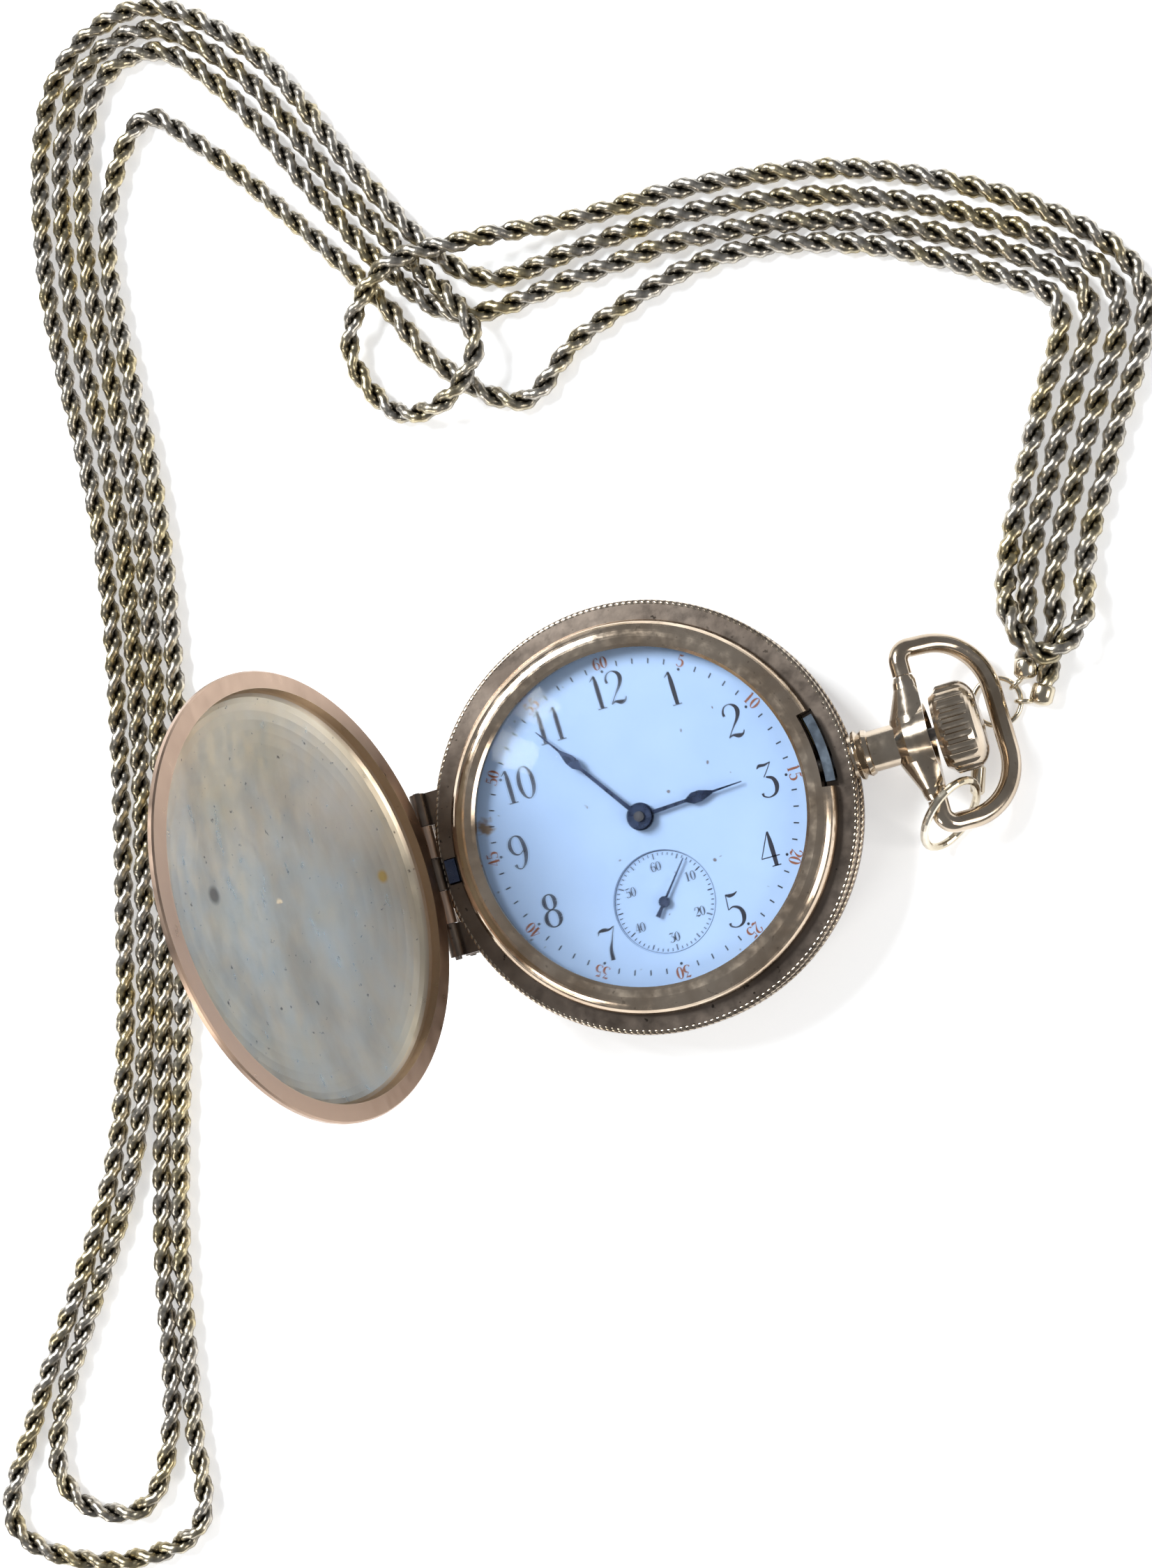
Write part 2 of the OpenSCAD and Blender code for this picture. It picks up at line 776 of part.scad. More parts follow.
// Cock over the balance, thick at its foot, which is cut round to clear the dust cover
module balance_cock() {
    color("#d4d2c8")
        difference() {
            union() {
                translate([0, 0, 1.85])
                    linear_extrude(0.65)
                        intersection() {
                            hull() {
                                translate(balance_at)
                                    circle(r = 1.7, $fn = 32);
                                translate(cock_foot_at)
                                    circle(r = 1.9, $fn = 32);
                            }
                            circle(r = 16.5);
                        }
                at(cock_foot_at)
                    disc(1.1, 2.4, bridge_z1);
            }
            at(balance_at)
                disc(jewel_r, 0, 5);
            at(cock_foot_at)
                disc(0.4, 0, 5);
        }
}

// Small bridge over the pallet arbor, cut back from the balance
module pallet_bridge() {
    color("#d4d2c8")
        difference() {
            at(pallet_at)
                disc(1.38, bridge_z0 + 0.3, bridge_z1);
            at(pallet_at)
                disc(jewel_hole_r, 0, 5);
            at(balance_at)
                disc(balance_r + 0.2, 0, 5);
        }
}

module bridge_screw(z0) {
    difference() {
        union() {
            disc(0.8, z0, z0 + 0.33);
            disc(0.38, z0 + 0.3, 4.9);
        }
        translate([-1, -0.1, z0 - 0.1])
            cube([2, 0.2, 0.25]);
    }
}

module bridge_screws() {
    color("#3a4a78") {
        for (a = concat(barrel_screw_dirs, train_screw_dirs))
            at(polar(screw_circle_r, a))
                bridge_screw(bridge_z0);
        at(cock_foot_at)
            bridge_screw(1.5);
        // screw that the click turns on
        at(click_at)
            difference() {
                union() {
                    disc(0.7, 1.6, 1.93);
                    disc(0.38, 1.9, bridge_z1);
                }
                translate([-1, -0.1, 1.5])
                    cube([2, 0.2, 0.25]);
            }
    }
}

module plate_jewels() {
    color("#a8203c") {
        for (p = [[0, 0], third_at, seconds_at, escape_at])
            at(p)
                tube_ring(jewel_r, jewel_hole_r, bridge_z0 + 0.3, bridge_z1 - 0.1);
        at(balance_at)
            tube_ring(jewel_r, jewel_hole_r, 1.9, 2.45);
    }
}

module mainspring_barrel() {
    pitch_phase = 180 + barrel_dir + 180 / barrel_teeth;
    color("#c9b36b")
        at(barrel_at)
            difference() {
                union() {
                    disc(6.5, 3.45, 4.6);
                    gear(barrel_teeth, barrel_m, pitch_phase, 4.55, 4.95);
                }
                disc(6.1, 3.75, 4.65);
                disc(0.74, 3, 6);
            }
}

// Coiled strip between two radii
module spiral_strip(r_in, r_out, turns, strip, z0, z1) {
    steps = turns * 14;
    translate([0, 0, z0])
        linear_extrude(z1 - z0)
            polygon(concat(
                [for (i = [0 : steps]) polar(r_in + (r_out - r_in) * i / steps, i * 360 / 14)],
                [for (i = [steps : -1 : 0]) polar(r_in + (r_out - r_in) * i / steps + strip, i * 360 / 14)]
            ));
}

module mainspring() {
    color("#5b6472")
        at(barrel_at)
            spiral_strip(1.7, 5.75, 9, 0.16, 3.85, 4.5);
}

module barrel_arbor() {
    color("#8c8c90")
        at(barrel_at) {
            disc(0.7, 2.1, 5.95);
            disc(1.5, 3.85, 4.5);
        }
}

module ratchet_wheel() {
    color("#c4c4c8")
        at(barrel_at)
            difference() {
                gear(ratchet_teeth, winding_m, winding_dir, 2.0, 2.34);
                disc(0.7, 0, 5);
            }
}

module crown_wheel() {
    phase = winding_dir + 180 + 180 / crown_wheel_teeth;
    color("#c4c4c8")
        at(crown_wheel_at)
            difference() {
                union() {
                    gear(crown_wheel_teeth, winding_m, phase, 2.0, 2.34);
                    disc(2.2, 2.34, 4.6);
                }
                disc(1.7, 2.34, 5);
                disc(0.5, 1, 5);
            }
}

module winding_pinion() {
    color("#8c8c90")
        translate([14.2, 0, stem_z])
            rotate([0, 90, 0])
                difference() {
                    linear_extrude(1.4)
                        gear_outline(10, 0.2, 0);
                    translate([0, 0, -1])
                        cylinder(r = stem_r, h = 4);
                }
}

// Pawl that rests beside the ratchet wheel
module click() {
    color("#8c8c90")
        at(click_at)
            difference() {
                union() {
                    disc(0.8, 2.0, 2.34);
                    rotate(-40)
                        translate([0, -0.2, 2.0])
                            cube([2.0, 0.4, 0.34]);
                }
                disc(0.45, 1, 5);
            }
}

module click_spring() {
    color("#5b6472")
        at(click_at)
            translate([0, 0, 2.0])
                linear_extrude(0.3)
                    polygon([[-3.4, -0.4], [-0.9, 1.0], [1.6, 1.1], [1.6, 1.3], [-1.0, 1.2], [-3.6, -0.2]]);
}

module center_wheel() {
    color("#c9b36b") {
        spoked_gear(center_teeth, center_m, atan2(third_at[1], third_at[0]), 5.1, 5.3, 5);
        gear(train_leaves, barrel_m, barrel_dir, 4.35, 5.1);
        disc(0.29, 3.25, 8.6);
        disc(pivot_r, 2.8, 3.3);
    }
}

module third_wheel() {
    to_center = atan2(-third_at[1], -third_at[0]);
    to_fourth = atan2(seconds_at[1] - third_at[1], seconds_at[0] - third_at[0]);
    color("#c9b36b")
        at(third_at) {
            spoked_gear(third_teeth, third_m, to_fourth, 4.55, 4.75, 4);
            gear(train_leaves, center_m, to_center + 180 / train_leaves, 4.75, 5.4);
            arbor(3.3, 5.45);
        }
}

module fourth_wheel() {
    to_third = atan2(third_at[1] - seconds_at[1], third_at[0] - seconds_at[0]);
    color("#c9b36b")
        at(seconds_at) {
            spoked_gear(fourth_teeth, fourth_m, escape_dir, 4.0, 4.2, 4);
            gear(train_leaves, third_m, to_third + 180 / train_leaves, 4.35, 4.9);
            disc(arbor_r, 3.3, 5.3);
            disc(pivot_r, 2.8, 3.4);
            disc(0.15, 5.2, 8.15);
        }
}

// Escape wheel with pointed club teeth
module escape_wheel() {
    step = 360 / escape_teeth;
    color("#b8b8bc")
        at(escape_at) {
            translate([0, 0, 3.5])
                linear_extrude(0.18) {
                    difference() {
                        circle(r = 2.15);
                        circle(r = 1.7);
                    }
                    circle(r = 0.6);
                    for (i = [0 : 3])
                        rotate(i * 90)
                            translate([0, -0.12])
                                square([1.9, 0.24]);
                    for (i = [0 : escape_teeth - 1])
                        rotate(i * step)
                            polygon([[2.0, -0.25], [2.75, 0.25], [2.8, 0.55], [2.6, 0.45], [2.0, 0.3]]);
                }
            gear(escape_leaves, fourth_m, escape_dir + 180 + 180 / escape_leaves, 3.68, 4.35);
            arbor(3.35, 5.45);
        }
}

// Pallet fork: anchor arms across the way to the escape wheel and a lever to the balance roller
module pallet_fork() {
    to_balance = atan2(balance_at[1] - pallet_at[1], balance_at[0] - pallet_at[0]);
    to_escape = atan2(escape_at[1] - pallet_at[1], escape_at[0] - pallet_at[0]);
    color("#b8b8bc")
        at(pallet_at) {
            translate([0, 0, 3.5])
                linear_extrude(0.18) {
                    rotate(to_escape)
                        translate([-0.2, -1.5])
                            square([0.5, 3.0]);
                    rotate(to_balance)
                        translate([0, -0.16])
                            square([4.4, 0.32]);
                    circle(r = 0.5);
                }
            arbor(3.4, 5.45);
        }
}

module balance_wheel() {
    screws = 12;
    color("#c9b36b")
        at(balance_at) {
            tube_ring(balance_r - 0.35, balance_r - 0.85, 2.85, 3.3);
            translate([-(balance_r - 0.6), -0.3, 2.9])
                cube([2 * (balance_r - 0.6), 0.6, 0.3]);
            for (i = [0 : screws - 1])
                rotate(15 + i * 360 / screws)
                    translate([balance_r - 0.45, 0, 3.08])
                        rotate([0, 90, 0])
                            cylinder(r = 0.2, h = 0.45, $fn = 24);
            disc(0.75, 3.5, 3.68);
            disc(arbor_r, 2.56, 5.45);
            disc(pivot_r, 2.0, 2.6);
            disc(pivot_r, 5.3, 5.9);
        }
}

module hairspring() {
    color("#3a5a9a")
        at(balance_at)
            spiral_strip(0.45, 2.9, 7, 0.07, 2.62, 2.74);
}

// Regulator arm on the balance cock
module regulator() {
    color("#c4c4c8")
        at(balance_at)
            difference() {
                union() {
                    disc(1.1, 1.62, 1.82);
                    rotate(160)
                        translate([0, -0.15, 1.62])
                            cube([3.2, 0.3, 0.2]);
                }
                disc(0.45, 1, 3);
            }
}

// ---- chain ----

function unit(v) = v / norm(v);

// Direction of an open route at its point i
function heading(route, i) = unit(route[min(i + 1, len(route) - 1)] - route[max(i - 1, 0)]);

// Ring of points round point i of a route, square to its heading
function route_ring(route, i, r, sides) =
    let (along = heading(route, i), side = unit(cross([0, 0, 1], along)), up = cross(along, side))
        [for (k = [0 : sides - 1]) route[i] + r * (cos(k * 360 / sides) * side + sin(k * 360 / sides) * up)];

// Closed tube along an open route
module route_tube(route, r, sides) {
    rings = len(route);
    polyhedron(
        points = [for (i = [0 : rings - 1], p = route_ring(route, i, r, sides)) p],
        faces = concat(
            [[for (k = [0 : sides - 1]) k]],
            [
                for (i = [0 : rings - 2], k = [0 : sides - 1])
                    let (next = (k + 1) % sides)
                        [i * sides + k, (i + 1) * sides + k, (i + 1) * sides + next, i * sides + next]
            ],
            [[for (k = [sides - 1 : -1 : 0]) (rings - 1) * sides + k]]
        ),
        convexity = 10
    );
}

module rope_chain() {
    color("#8d8567")
        route_tube(chain_route, chain_tube_r, chain_sides);
}

// Ring that both ends of the rope are fixed to, lying flat under the bow's bar
module jump_ring() {
    color("#b9a878")
        translate([35, 1.7, jump_wire_r + 0.05])
            rotate_extrude()
                translate([jump_ring_r, 0])
                    circle(r = jump_wire_r, $fn = 24);
}

// Turned body of the swivel, with a ball at the jump ring's end
module swivel_barrel() {
    body_r = 0.7;
    ball_r = 0.6;
    ball_x = 5.1;
    color("#b9a878")
        translate([30.8, -6.4, body_r + 0.05])
            rotate([0, 90, 71])
                rotate_extrude($fn = 48)
                    polygon(concat(
                        [
                            [0, 0], [0.5, 0], [body_r, 0.25], [body_r, 2.6], [0.5, 2.8],
                            [0.35, 3.3], [0.35, ball_x - 0.5]
                        ],
                        oval([0, ball_x], ball_r, ball_r, -50, 90, 10)
                    ));
}

// Oval wire of the swivel hook, leaning over the lower arm of the bow
module swivel_ring() {
    wide = swivel_ring_half;
    steps = 32;
    wire_sides = 12;
    tilt = 48.6;
    roll = 57.2;
    turn = -32.6;
    color("#b9a878")
        translate([28.15, -7.65, 4.2])
            rotate([0, 0, turn])
                rotate([tilt, 0, 0])
                    rotate([0, roll, 0])
                        polyhedron(
                            points = [
                                for (i = [0 : steps - 1], k = [0 : wire_sides - 1])
                                    let (
                                        a = i * 360 / steps,
                                        b = k * 360 / wire_sides,
                                        out = unit([wide[1] * cos(a), wide[0] * sin(a), 0])
                                    )
                                        [wide[0] * cos(a), wide[1] * sin(a), 0]
                                            + swivel_wire_r * (cos(b) * out + sin(b) * [0, 0, 1])
                            ],
                            faces = [
                                for (i = [0 : steps - 1], k = [0 : wire_sides - 1])
                                    let (
                                        here = i * wire_sides,
                                        after = (i + 1) % steps * wire_sides,
                                        next = (k + 1) % wire_sides
                                    )
                                        [here + k, here + next, after + next, after + k]
                            ],
                            convexity = 6
                        );
}

case_center();
bezel();
crystal();
front_lid();
back_cover();
cuvette();
front_hinge_pin();
back_hinge_pin();
pendant();
pendant_sleeve();
case_stem();
crown();
bow();
lock_spring();
lift_spring();
case_screws();
dial();
hour_hand();
minute_hand();
second_hand();
cannon_pinion();
hour_wheel();
minute_wheel();
main_plate();
barrel_bridge();
train_bridge();
balance_cock();
pallet_bridge();
bridge_screws();
plate_jewels();
mainspring_barrel();
mainspring();
barrel_arbor();
ratchet_wheel();
crown_wheel();
winding_pinion();
click();
click_spring();
center_wheel();
third_wheel();
fourth_wheel();
escape_wheel();
pallet_fork();
balance_wheel();
hairspring();
regulator();
rope_chain();
jump_ring();
swivel_barrel();
swivel_ring();
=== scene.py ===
"""Pocket watch with its lid open and its rope guard chain laid out round it."""

import json
import math

import bpy
import numpy as np
from mathutils import Matrix, Vector


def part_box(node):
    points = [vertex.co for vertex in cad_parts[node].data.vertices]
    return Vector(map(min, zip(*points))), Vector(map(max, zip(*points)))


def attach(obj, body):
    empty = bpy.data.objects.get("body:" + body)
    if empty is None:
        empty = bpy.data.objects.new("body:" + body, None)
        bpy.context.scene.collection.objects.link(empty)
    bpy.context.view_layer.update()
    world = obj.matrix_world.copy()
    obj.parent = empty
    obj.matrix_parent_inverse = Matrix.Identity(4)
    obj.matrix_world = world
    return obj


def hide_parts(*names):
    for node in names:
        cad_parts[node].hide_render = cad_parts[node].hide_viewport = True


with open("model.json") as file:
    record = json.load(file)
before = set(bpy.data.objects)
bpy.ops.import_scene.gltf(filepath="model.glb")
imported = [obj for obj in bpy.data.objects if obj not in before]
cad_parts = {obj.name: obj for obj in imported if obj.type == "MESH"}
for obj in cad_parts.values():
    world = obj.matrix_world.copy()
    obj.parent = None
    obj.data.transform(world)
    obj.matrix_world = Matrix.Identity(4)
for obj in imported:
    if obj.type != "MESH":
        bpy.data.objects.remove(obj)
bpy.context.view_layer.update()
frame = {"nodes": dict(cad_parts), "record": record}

MM = 0.001
nodes = frame["nodes"]


# ---- places taken from the frame ----

def middle(node):
    low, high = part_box(node)
    return [(low[i] + high[i]) / 2 for i in range(3)]


def joint_row(name):
    return next(row for row in frame["record"]["behaviour"]["joints"] if row["name"] == name)


LID_HINGE = Vector(joint_row("front_lid_hinge")["pos_m"])
LID_OPEN = math.radians(joint_row("front_lid_hinge")["range_deg"][1])
CASE_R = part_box("case_center")[1][0]
DIAL_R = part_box("dial")[1][0]
DIAL_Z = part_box("dial")[1][2]
# the case's flat rim is level with the dial
RIM_Z = DIAL_Z
SECONDS_SINK = 0.25 * MM
SECONDS_Z = DIAL_Z - SECONDS_SINK
SECONDS_AT = middle("fourth_wheel")[:2]
DIAL_AT = (0, 0)


# ---- camera: the photograph's viewing angle, from above and a little to the right ----

CAMERA_AT = (0.0463, -0.0168, 0.2226)
CAMERA_TURN_DEG = (1.80, 14.53, -15.55)
LENS_MM = 71.4
SENSOR_MM = 36

camera = bpy.data.cameras.new("camera")
camera.sensor_fit = "HORIZONTAL"
camera.sensor_width = SENSOR_MM
camera.lens = LENS_MM
camera.clip_start = 10 * MM
camera_object = bpy.data.objects.new("camera", camera)
bpy.context.collection.objects.link(camera_object)
camera_object.location = CAMERA_AT
camera_object.rotation_euler = [math.radians(angle) for angle in CAMERA_TURN_DEG]
bpy.context.scene.camera = camera_object


# ---- meshes ----

def new_object(name, points, faces, smooth=True):
    mesh = bpy.data.meshes.new(name)
    mesh.from_pydata([tuple(p) for p in points], [], [tuple(f) for f in faces])
    mesh.update()
    if smooth:
        mesh.polygons.foreach_set("use_smooth", [True] * len(mesh.polygons))
    piece = bpy.data.objects.new(name, mesh)
    bpy.context.collection.objects.link(piece)
    return piece


def smooth_path(points, parts):
    """Catmull-Rom curve through given points, as an array."""
    p = np.array(points, float)
    p = np.vstack([2 * p[0] - p[1], p, 2 * p[-1] - p[-2]])
    t = np.linspace(0, 1, parts, endpoint=False)[:, None]
    out = []
    for a, b, c, d in zip(p, p[1:], p[2:], p[3:]):
        out.append(0.5 * (2 * b + (c - a) * t + (2 * a - 5 * b + 4 * c - d) * t ** 2
                          + (3 * b - a - 3 * c + d) * t ** 3))
    return np.vstack(out + [p[-2:-1]])


def even_steps(path, step):
    """Distances a step apart along the path, and the path's points there."""
    run = np.concatenate([[0], np.cumsum(np.linalg.norm(np.diff(path, axis=0), axis=1))])
    stations = np.linspace(0, run[-1], int(run[-1] / step) + 1)
    return stations, np.stack([np.interp(stations, run, path[:, i]) for i in range(3)], 1)


def frames_along(path):
    """Side and up directions at each point of a path that lies about level."""
    along = np.gradient(path, axis=0)
    along /= np.linalg.norm(along, axis=1)[:, None]
    side = np.cross([0, 0, 1], along)
    side /= np.linalg.norm(side, axis=1)[:, None]
    return side, np.cross(along, side)


def grid_faces(rings, sides, first=0):
    """Quads of a tube with this many rings, as an array."""
    i = np.arange(rings - 1)[:, None] * sides
    k = np.arange(sides)[None, :]
    n = (k + 1) % sides
    quads = np.stack(np.broadcast_arrays(i + k, i + n, i + sides + n, i + sides + k), -1)
    return quads.reshape(-1, 4) + first


def turned(name, outline, place, along, sides=24):
    """Solid of revolution about a line, from (distance along it, radius) points."""
    along = Vector(along).normalized()
    side = along.orthogonal().normalized()
    up = along.cross(side)
    points = []
    for x, r in outline:
        for k in range(sides):
            a = k * 2 * math.pi / sides
            points.append(Vector(place) + x * along + r * (math.cos(a) * side + math.sin(a) * up))
    last = (len(outline) - 1) * sides
    caps = [tuple(range(sides - 1, -1, -1)), tuple(range(last, last + sides))]
    return new_object(name, points, [tuple(f) for f in grid_faces(len(outline), sides)] + caps)


def wire_ring(name, centre, normal, r, wire, steps=40, sides=10):
    """Closed ring of round wire."""
    normal = Vector(normal).normalized()
    side = normal.orthogonal().normalized()
    up = normal.cross(side)
    points = []
    for i in range(steps):
        a = i * 2 * math.pi / steps
        out = math.cos(a) * side + math.sin(a) * up
        for k in range(sides):
            b = k * 2 * math.pi / sides
            points.append(Vector(centre) + (r + wire * math.cos(b)) * out + wire * math.sin(b) * normal)
    return new_object(name, points, grid_faces(steps + 1, sides) % (steps * sides))


# ---- rope chain ----

STRAND_AT = 0.50 * MM   # from the middle of the rope to the middle of a strand
STRAND_R = 0.57 * MM
TWIST = 5.8 * MM        # along the rope for one full turn of its strands
LINK = 0.95 * MM        # along a strand from one link to the next
RIDGE = 0.11            # how far a link rises, as a share of the strand's radius
ROPE_STEP = 0.19 * MM
ROPE_SIDES = 6
CORD_STEP = 1.5 * MM

# The chain's route, in millimetres: the same points as in the CAD
chain_route = [
    (39, 0.5, 1.2), (42, 6, 1.2), (44, 13, 1.2), (50, 23.5, 1.2), (56.5, 35.5, 1.2), (50.5, 44, 1.2),
    (36, 53, 1.2), (21, 57, 1.2), (8, 57.5, 1.2), (-1.5, 57.5, 1.2), (-7, 62.5, 1.2), (-13, 74, 1.2),
    (-20, 89, 1.2), (-31, 98.5, 1.2), (-43, 93.5, 1.2), (-49, 74, 1.2), (-50.5, 42, 1.2), (-57.5, 8, 1.2),
    (-65.5, -18, 1.2), (-81, -41.5, 1.2), (-87, -53, 1.2), (-78, -58.8, 1.2), (-66.5, -57.5, 1.2),
    (-64, -46, 1.2), (-60, -26, 1.2), (-50, 9.5, 1.2), (-43.3, 44, 1.2), (-41.5, 74, 1.2),
    (-34.5, 86.5, 1.2), (-28.5, 82, 1.2), (-19.5, 69, 1.2), (-13.5, 59, 1.2), (-9.5, 51, 1.2),
    (-2, 44.5, 1.2), (6, 49, 1.2), (20, 52, 1.2), (33.5, 49, 1.2), (46, 41.5, 1.2), (51, 36, 1.2),
    (46, 26.5, 1.2), (40, 15, 1.2), (38.5, 8.5, 3.2), (41, 4.4, 3.6), (45, 7, 2.8), (47, 13, 1.2),
    (52, 22, 1.2), (59, 35.5, 1.2), (52, 46, 1.2), (37, 55.5, 1.2), (21.5, 59.5, 1.2), (8, 60.5, 1.4),
    (-3, 61.5, 3.6), (-12, 61.5, 3.9), (-18, 55.5, 1.8), (-15.5, 48, 1.2), (-9.5, 46.5, 3.2),
    (-4.8, 50.5, 3.6), (-5.5, 55.5, 3.5), (-9.3, 61.8, 1.4), (-15.2, 73, 1.2), (-22, 87.5, 1.2),
    (-31, 96, 1.2), (-41, 92, 1.2), (-46.5, 74, 1.2), (-48.1, 42.5, 1.2), (-55, 8.5, 1.2), (-63, -18, 1.2),
    (-78.5, -42.5, 1.2), (-79.5, -51.5, 1.2), (-72, -54.3, 1.2), (-66.5, -46, 1.2), (-62.3, -26.5, 1.2),
    (-52.5, 9, 1.2), (-45.7, 43.5, 1.2), (-44, 74, 1.2), (-39, 90.5, 1.2), (-31, 93.5, 1.2), (-24, 86, 1.2),
    (-17.3, 72, 1.2), (-12, 62, 1.2), (-5.5, 55, 1.2), (8, 54.8, 1.2), (20.5, 54.5, 1.2), (34.5, 51, 1.2),
    (48, 43, 1.2), (53.8, 36, 1.2), (48, 25, 1.2), (41.8, 14, 1.2), (39.8, 8, 1.2), (38.3, 3.3, 1.2),
]
chain_path = smooth_path(np.array(chain_route) * MM, parts=12)


def rope(name, path):
    """Rope of two twisted strands of small links, each link a ridge round its strand, with painted shade in
    its hollows.
    """
    stations, centre = even_steps(path, ROPE_STEP)
    side, up = frames_along(centre)
    around = np.arange(ROPE_SIDES) * 2 * math.pi / ROPE_SIDES
    points = []
    faces = []
    painted_shading_values = []
    for strand in range(2):
        turn = stations / TWIST * 2 * math.pi + strand * math.pi
        out = np.cos(turn)[:, None] * side + np.sin(turn)[:, None] * up
        middle_line = centre + STRAND_AT * out
        strand_side, strand_up = frames_along(middle_line)
        ridge = np.sin(stations[:, None] / LINK * 2 * math.pi + around[None, :])
        r = STRAND_R * (1 + RIDGE * ridge)
        ring = (middle_line[:, None, :]
                + (r * np.cos(around))[:, :, None] * strand_side[:, None, :]
                + (r * np.sin(around))[:, :, None] * strand_up[:, None, :])
        points.append(ring.reshape(-1, 3))
        faces.append(grid_faces(len(centre), ROPE_SIDES, strand * len(centre) * ROPE_SIDES))
        # painted shade: the hollows between links and between the strands are painted dark, the crests of
        # the links lighter
        depth = np.linalg.norm(ring - centre[:, None, :], axis=2) / (STRAND_AT + STRAND_R)
        outside = np.clip(depth * 1.5 - 0.55, 0, 1)
        crest = 0.55 + 0.45 * (ridge + 1) / 2
        painted_shading_values.append((outside * crest).reshape(-1))
    piece = new_object(name, np.vstack(points), np.vstack(faces))
    # the painted shade is kept per point, 0 deepest in shade and 1 fully lit
    painted_shading = piece.data.color_attributes.new("painted_shading", "FLOAT_COLOR", "POINT")
    values = np.concatenate(painted_shading_values)
    painted_shading.data.foreach_set("color", np.stack([values, values, values, np.ones_like(values)], 1).reshape(-1))
    return piece


rope_piece = rope("rope_guard_chain", chain_path)
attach(rope_piece, "case")
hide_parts("rope_chain")
run, even_path = even_steps(chain_path, CORD_STEP)


# ---- shader helpers ----

def material(name, metallic=0.0):
    made = bpy.data.materials.new(name)
    made.use_nodes = True
    tree = made.node_tree
    shader = tree.nodes["Principled BSDF"]
    shader.inputs["Metallic"].default_value = metallic
    return made, tree, shader


def add(tree, kind, **values):
    """New shader node, with each value set on its input or else on the node itself."""
    node = tree.nodes.new(kind)
    for key, value in values.items():
        if key in node.inputs:
            node.inputs[key].default_value = value
        else:
            setattr(node, key, value)
    return node


def own_place(tree):
    return add(tree, "ShaderNodeTexCoord").outputs["Object"]


def noise(tree, scale, detail, stretch=(1, 1, 1), place=None):
    """Noise over a place, or else over the object's own, finer along an axis with more stretch."""
    mapping = add(tree, "ShaderNodeMapping", Scale=stretch)
    texture = add(tree, "ShaderNodeTexNoise", Scale=scale, Detail=detail)
    tree.links.new(place or own_place(tree), mapping.inputs["Vector"])
    tree.links.new(mapping.outputs["Vector"], texture.inputs["Vector"])
    return texture.outputs["Fac"]


def ramp(tree, source, stops):
    """Colours or values spread along a 0 to 1 source."""
    node = tree.nodes.new("ShaderNodeValToRGB")
    elements = node.color_ramp.elements
    while len(elements) < len(stops):
        elements.new(0.5)
    for element, (place, colour) in zip(elements, stops):
        element.position = place
        element.color = (*colour, 1) if isinstance(colour, tuple) else (colour, colour, colour, 1)
    tree.links.new(source, node.inputs["Fac"])
    return node.outputs["Color"]


def fade(tree, source, start, end, first=0.0, last=1.0):
    """Value that goes from first to last while the source goes from start to end."""
    node = add(tree, "ShaderNodeMapRange", **{
        "From Min": start, "From Max": end, "To Min": first, "To Max": last,
    })
    tree.links.new(source, node.inputs["Value"])
    return node.outputs["Result"]


def distance_from(tree, source, centre):
    node = add(tree, "ShaderNodeVectorMath", operation="DISTANCE")
    node.inputs[1].default_value = centre
    tree.links.new(source, node.inputs[0])
    return node.outputs["Value"]


def bump(tree, shader, source, strength, distance):
    node = add(tree, "ShaderNodeBump", Strength=strength, Distance=distance)
    tree.links.new(source, node.inputs["Height"])
    tree.links.new(node.outputs["Normal"], shader.inputs["Normal"])


def blend_colours(tree, factor, first, second):
    node = add(tree, "ShaderNodeMix", data_type="RGBA")
    tree.links.new(factor, node.inputs["Factor"])
    for socket, value in ((node.inputs["A"], first), (node.inputs["B"], second)):
        if isinstance(value, tuple):
            socket.default_value = (*value, 1)
        else:
            tree.links.new(value, socket)
    return node.outputs["Result"]


def darker(colour, share):
    return tuple(c * share for c in colour)


def worn_metal(name, light, dark, rough, grain, specks=0.0, stretch=(1, 1, 1)):
    """Metal with tarnish in patches, fine scratches and, if asked, dark specks."""
    made, tree, shader = material(name, metallic=1.0)
    colour = ramp(tree, noise(tree, 180, 6), [(0.32, dark), (0.62, light)])
    if specks:
        mask = ramp(tree, noise(tree, 1400, 2), [(0.27, 1.0), (0.33, 0.0)])
        weaker = add(tree, "ShaderNodeMath", operation="MULTIPLY")
        tree.links.new(mask, weaker.inputs[0])
        weaker.inputs[1].default_value = specks
        colour = blend_colours(tree, weaker.outputs[0], colour, darker(dark, 0.25))
    tree.links.new(colour, shader.inputs["Base Color"])
    scratches = noise(tree, 900, 5, stretch)
    roughness = ramp(tree, scratches, [(0.3, rough - 0.07), (0.7, rough + 0.09)])
    tree.links.new(roughness, shader.inputs["Roughness"])
    bump(tree, shader, scratches, grain, 0.04 * MM)
    return made


def plain_finish(name, colour, rough):
    """Smooth, even surface with a faint change of shade."""
    made, tree, shader = material(name)
    shade = noise(tree, 500, 3)
    painted_shading_values = ramp(tree, shade, [(0.3, darker(colour, 0.85)), (0.7, colour)])
    tree.links.new(painted_shading_values, shader.inputs["Base Color"])
    shader.inputs["Roughness"].default_value = rough
    bump(tree, shader, shade, 0.02, 0.02 * MM)
    return made


# ---- materials ----

def case_gold():
    """Brown, tarnished gold of the band and the back."""
    return worn_metal("case_gold", light=(0.20, 0.16, 0.13), dark=(0.11, 0.085, 0.068),
                      rough=0.36, grain=0.30, specks=0.9)


def bezel_gold():
    return worn_metal("bezel_gold", light=(0.66, 0.54, 0.42), dark=(0.46, 0.345, 0.245),
                      rough=0.15, grain=0.12, specks=0.35)


def pendant_gold():
    return worn_metal("pendant_gold", light=(0.56, 0.47, 0.37), dark=(0.36, 0.28, 0.20),
                      rough=0.15, grain=0.10, specks=0.2)


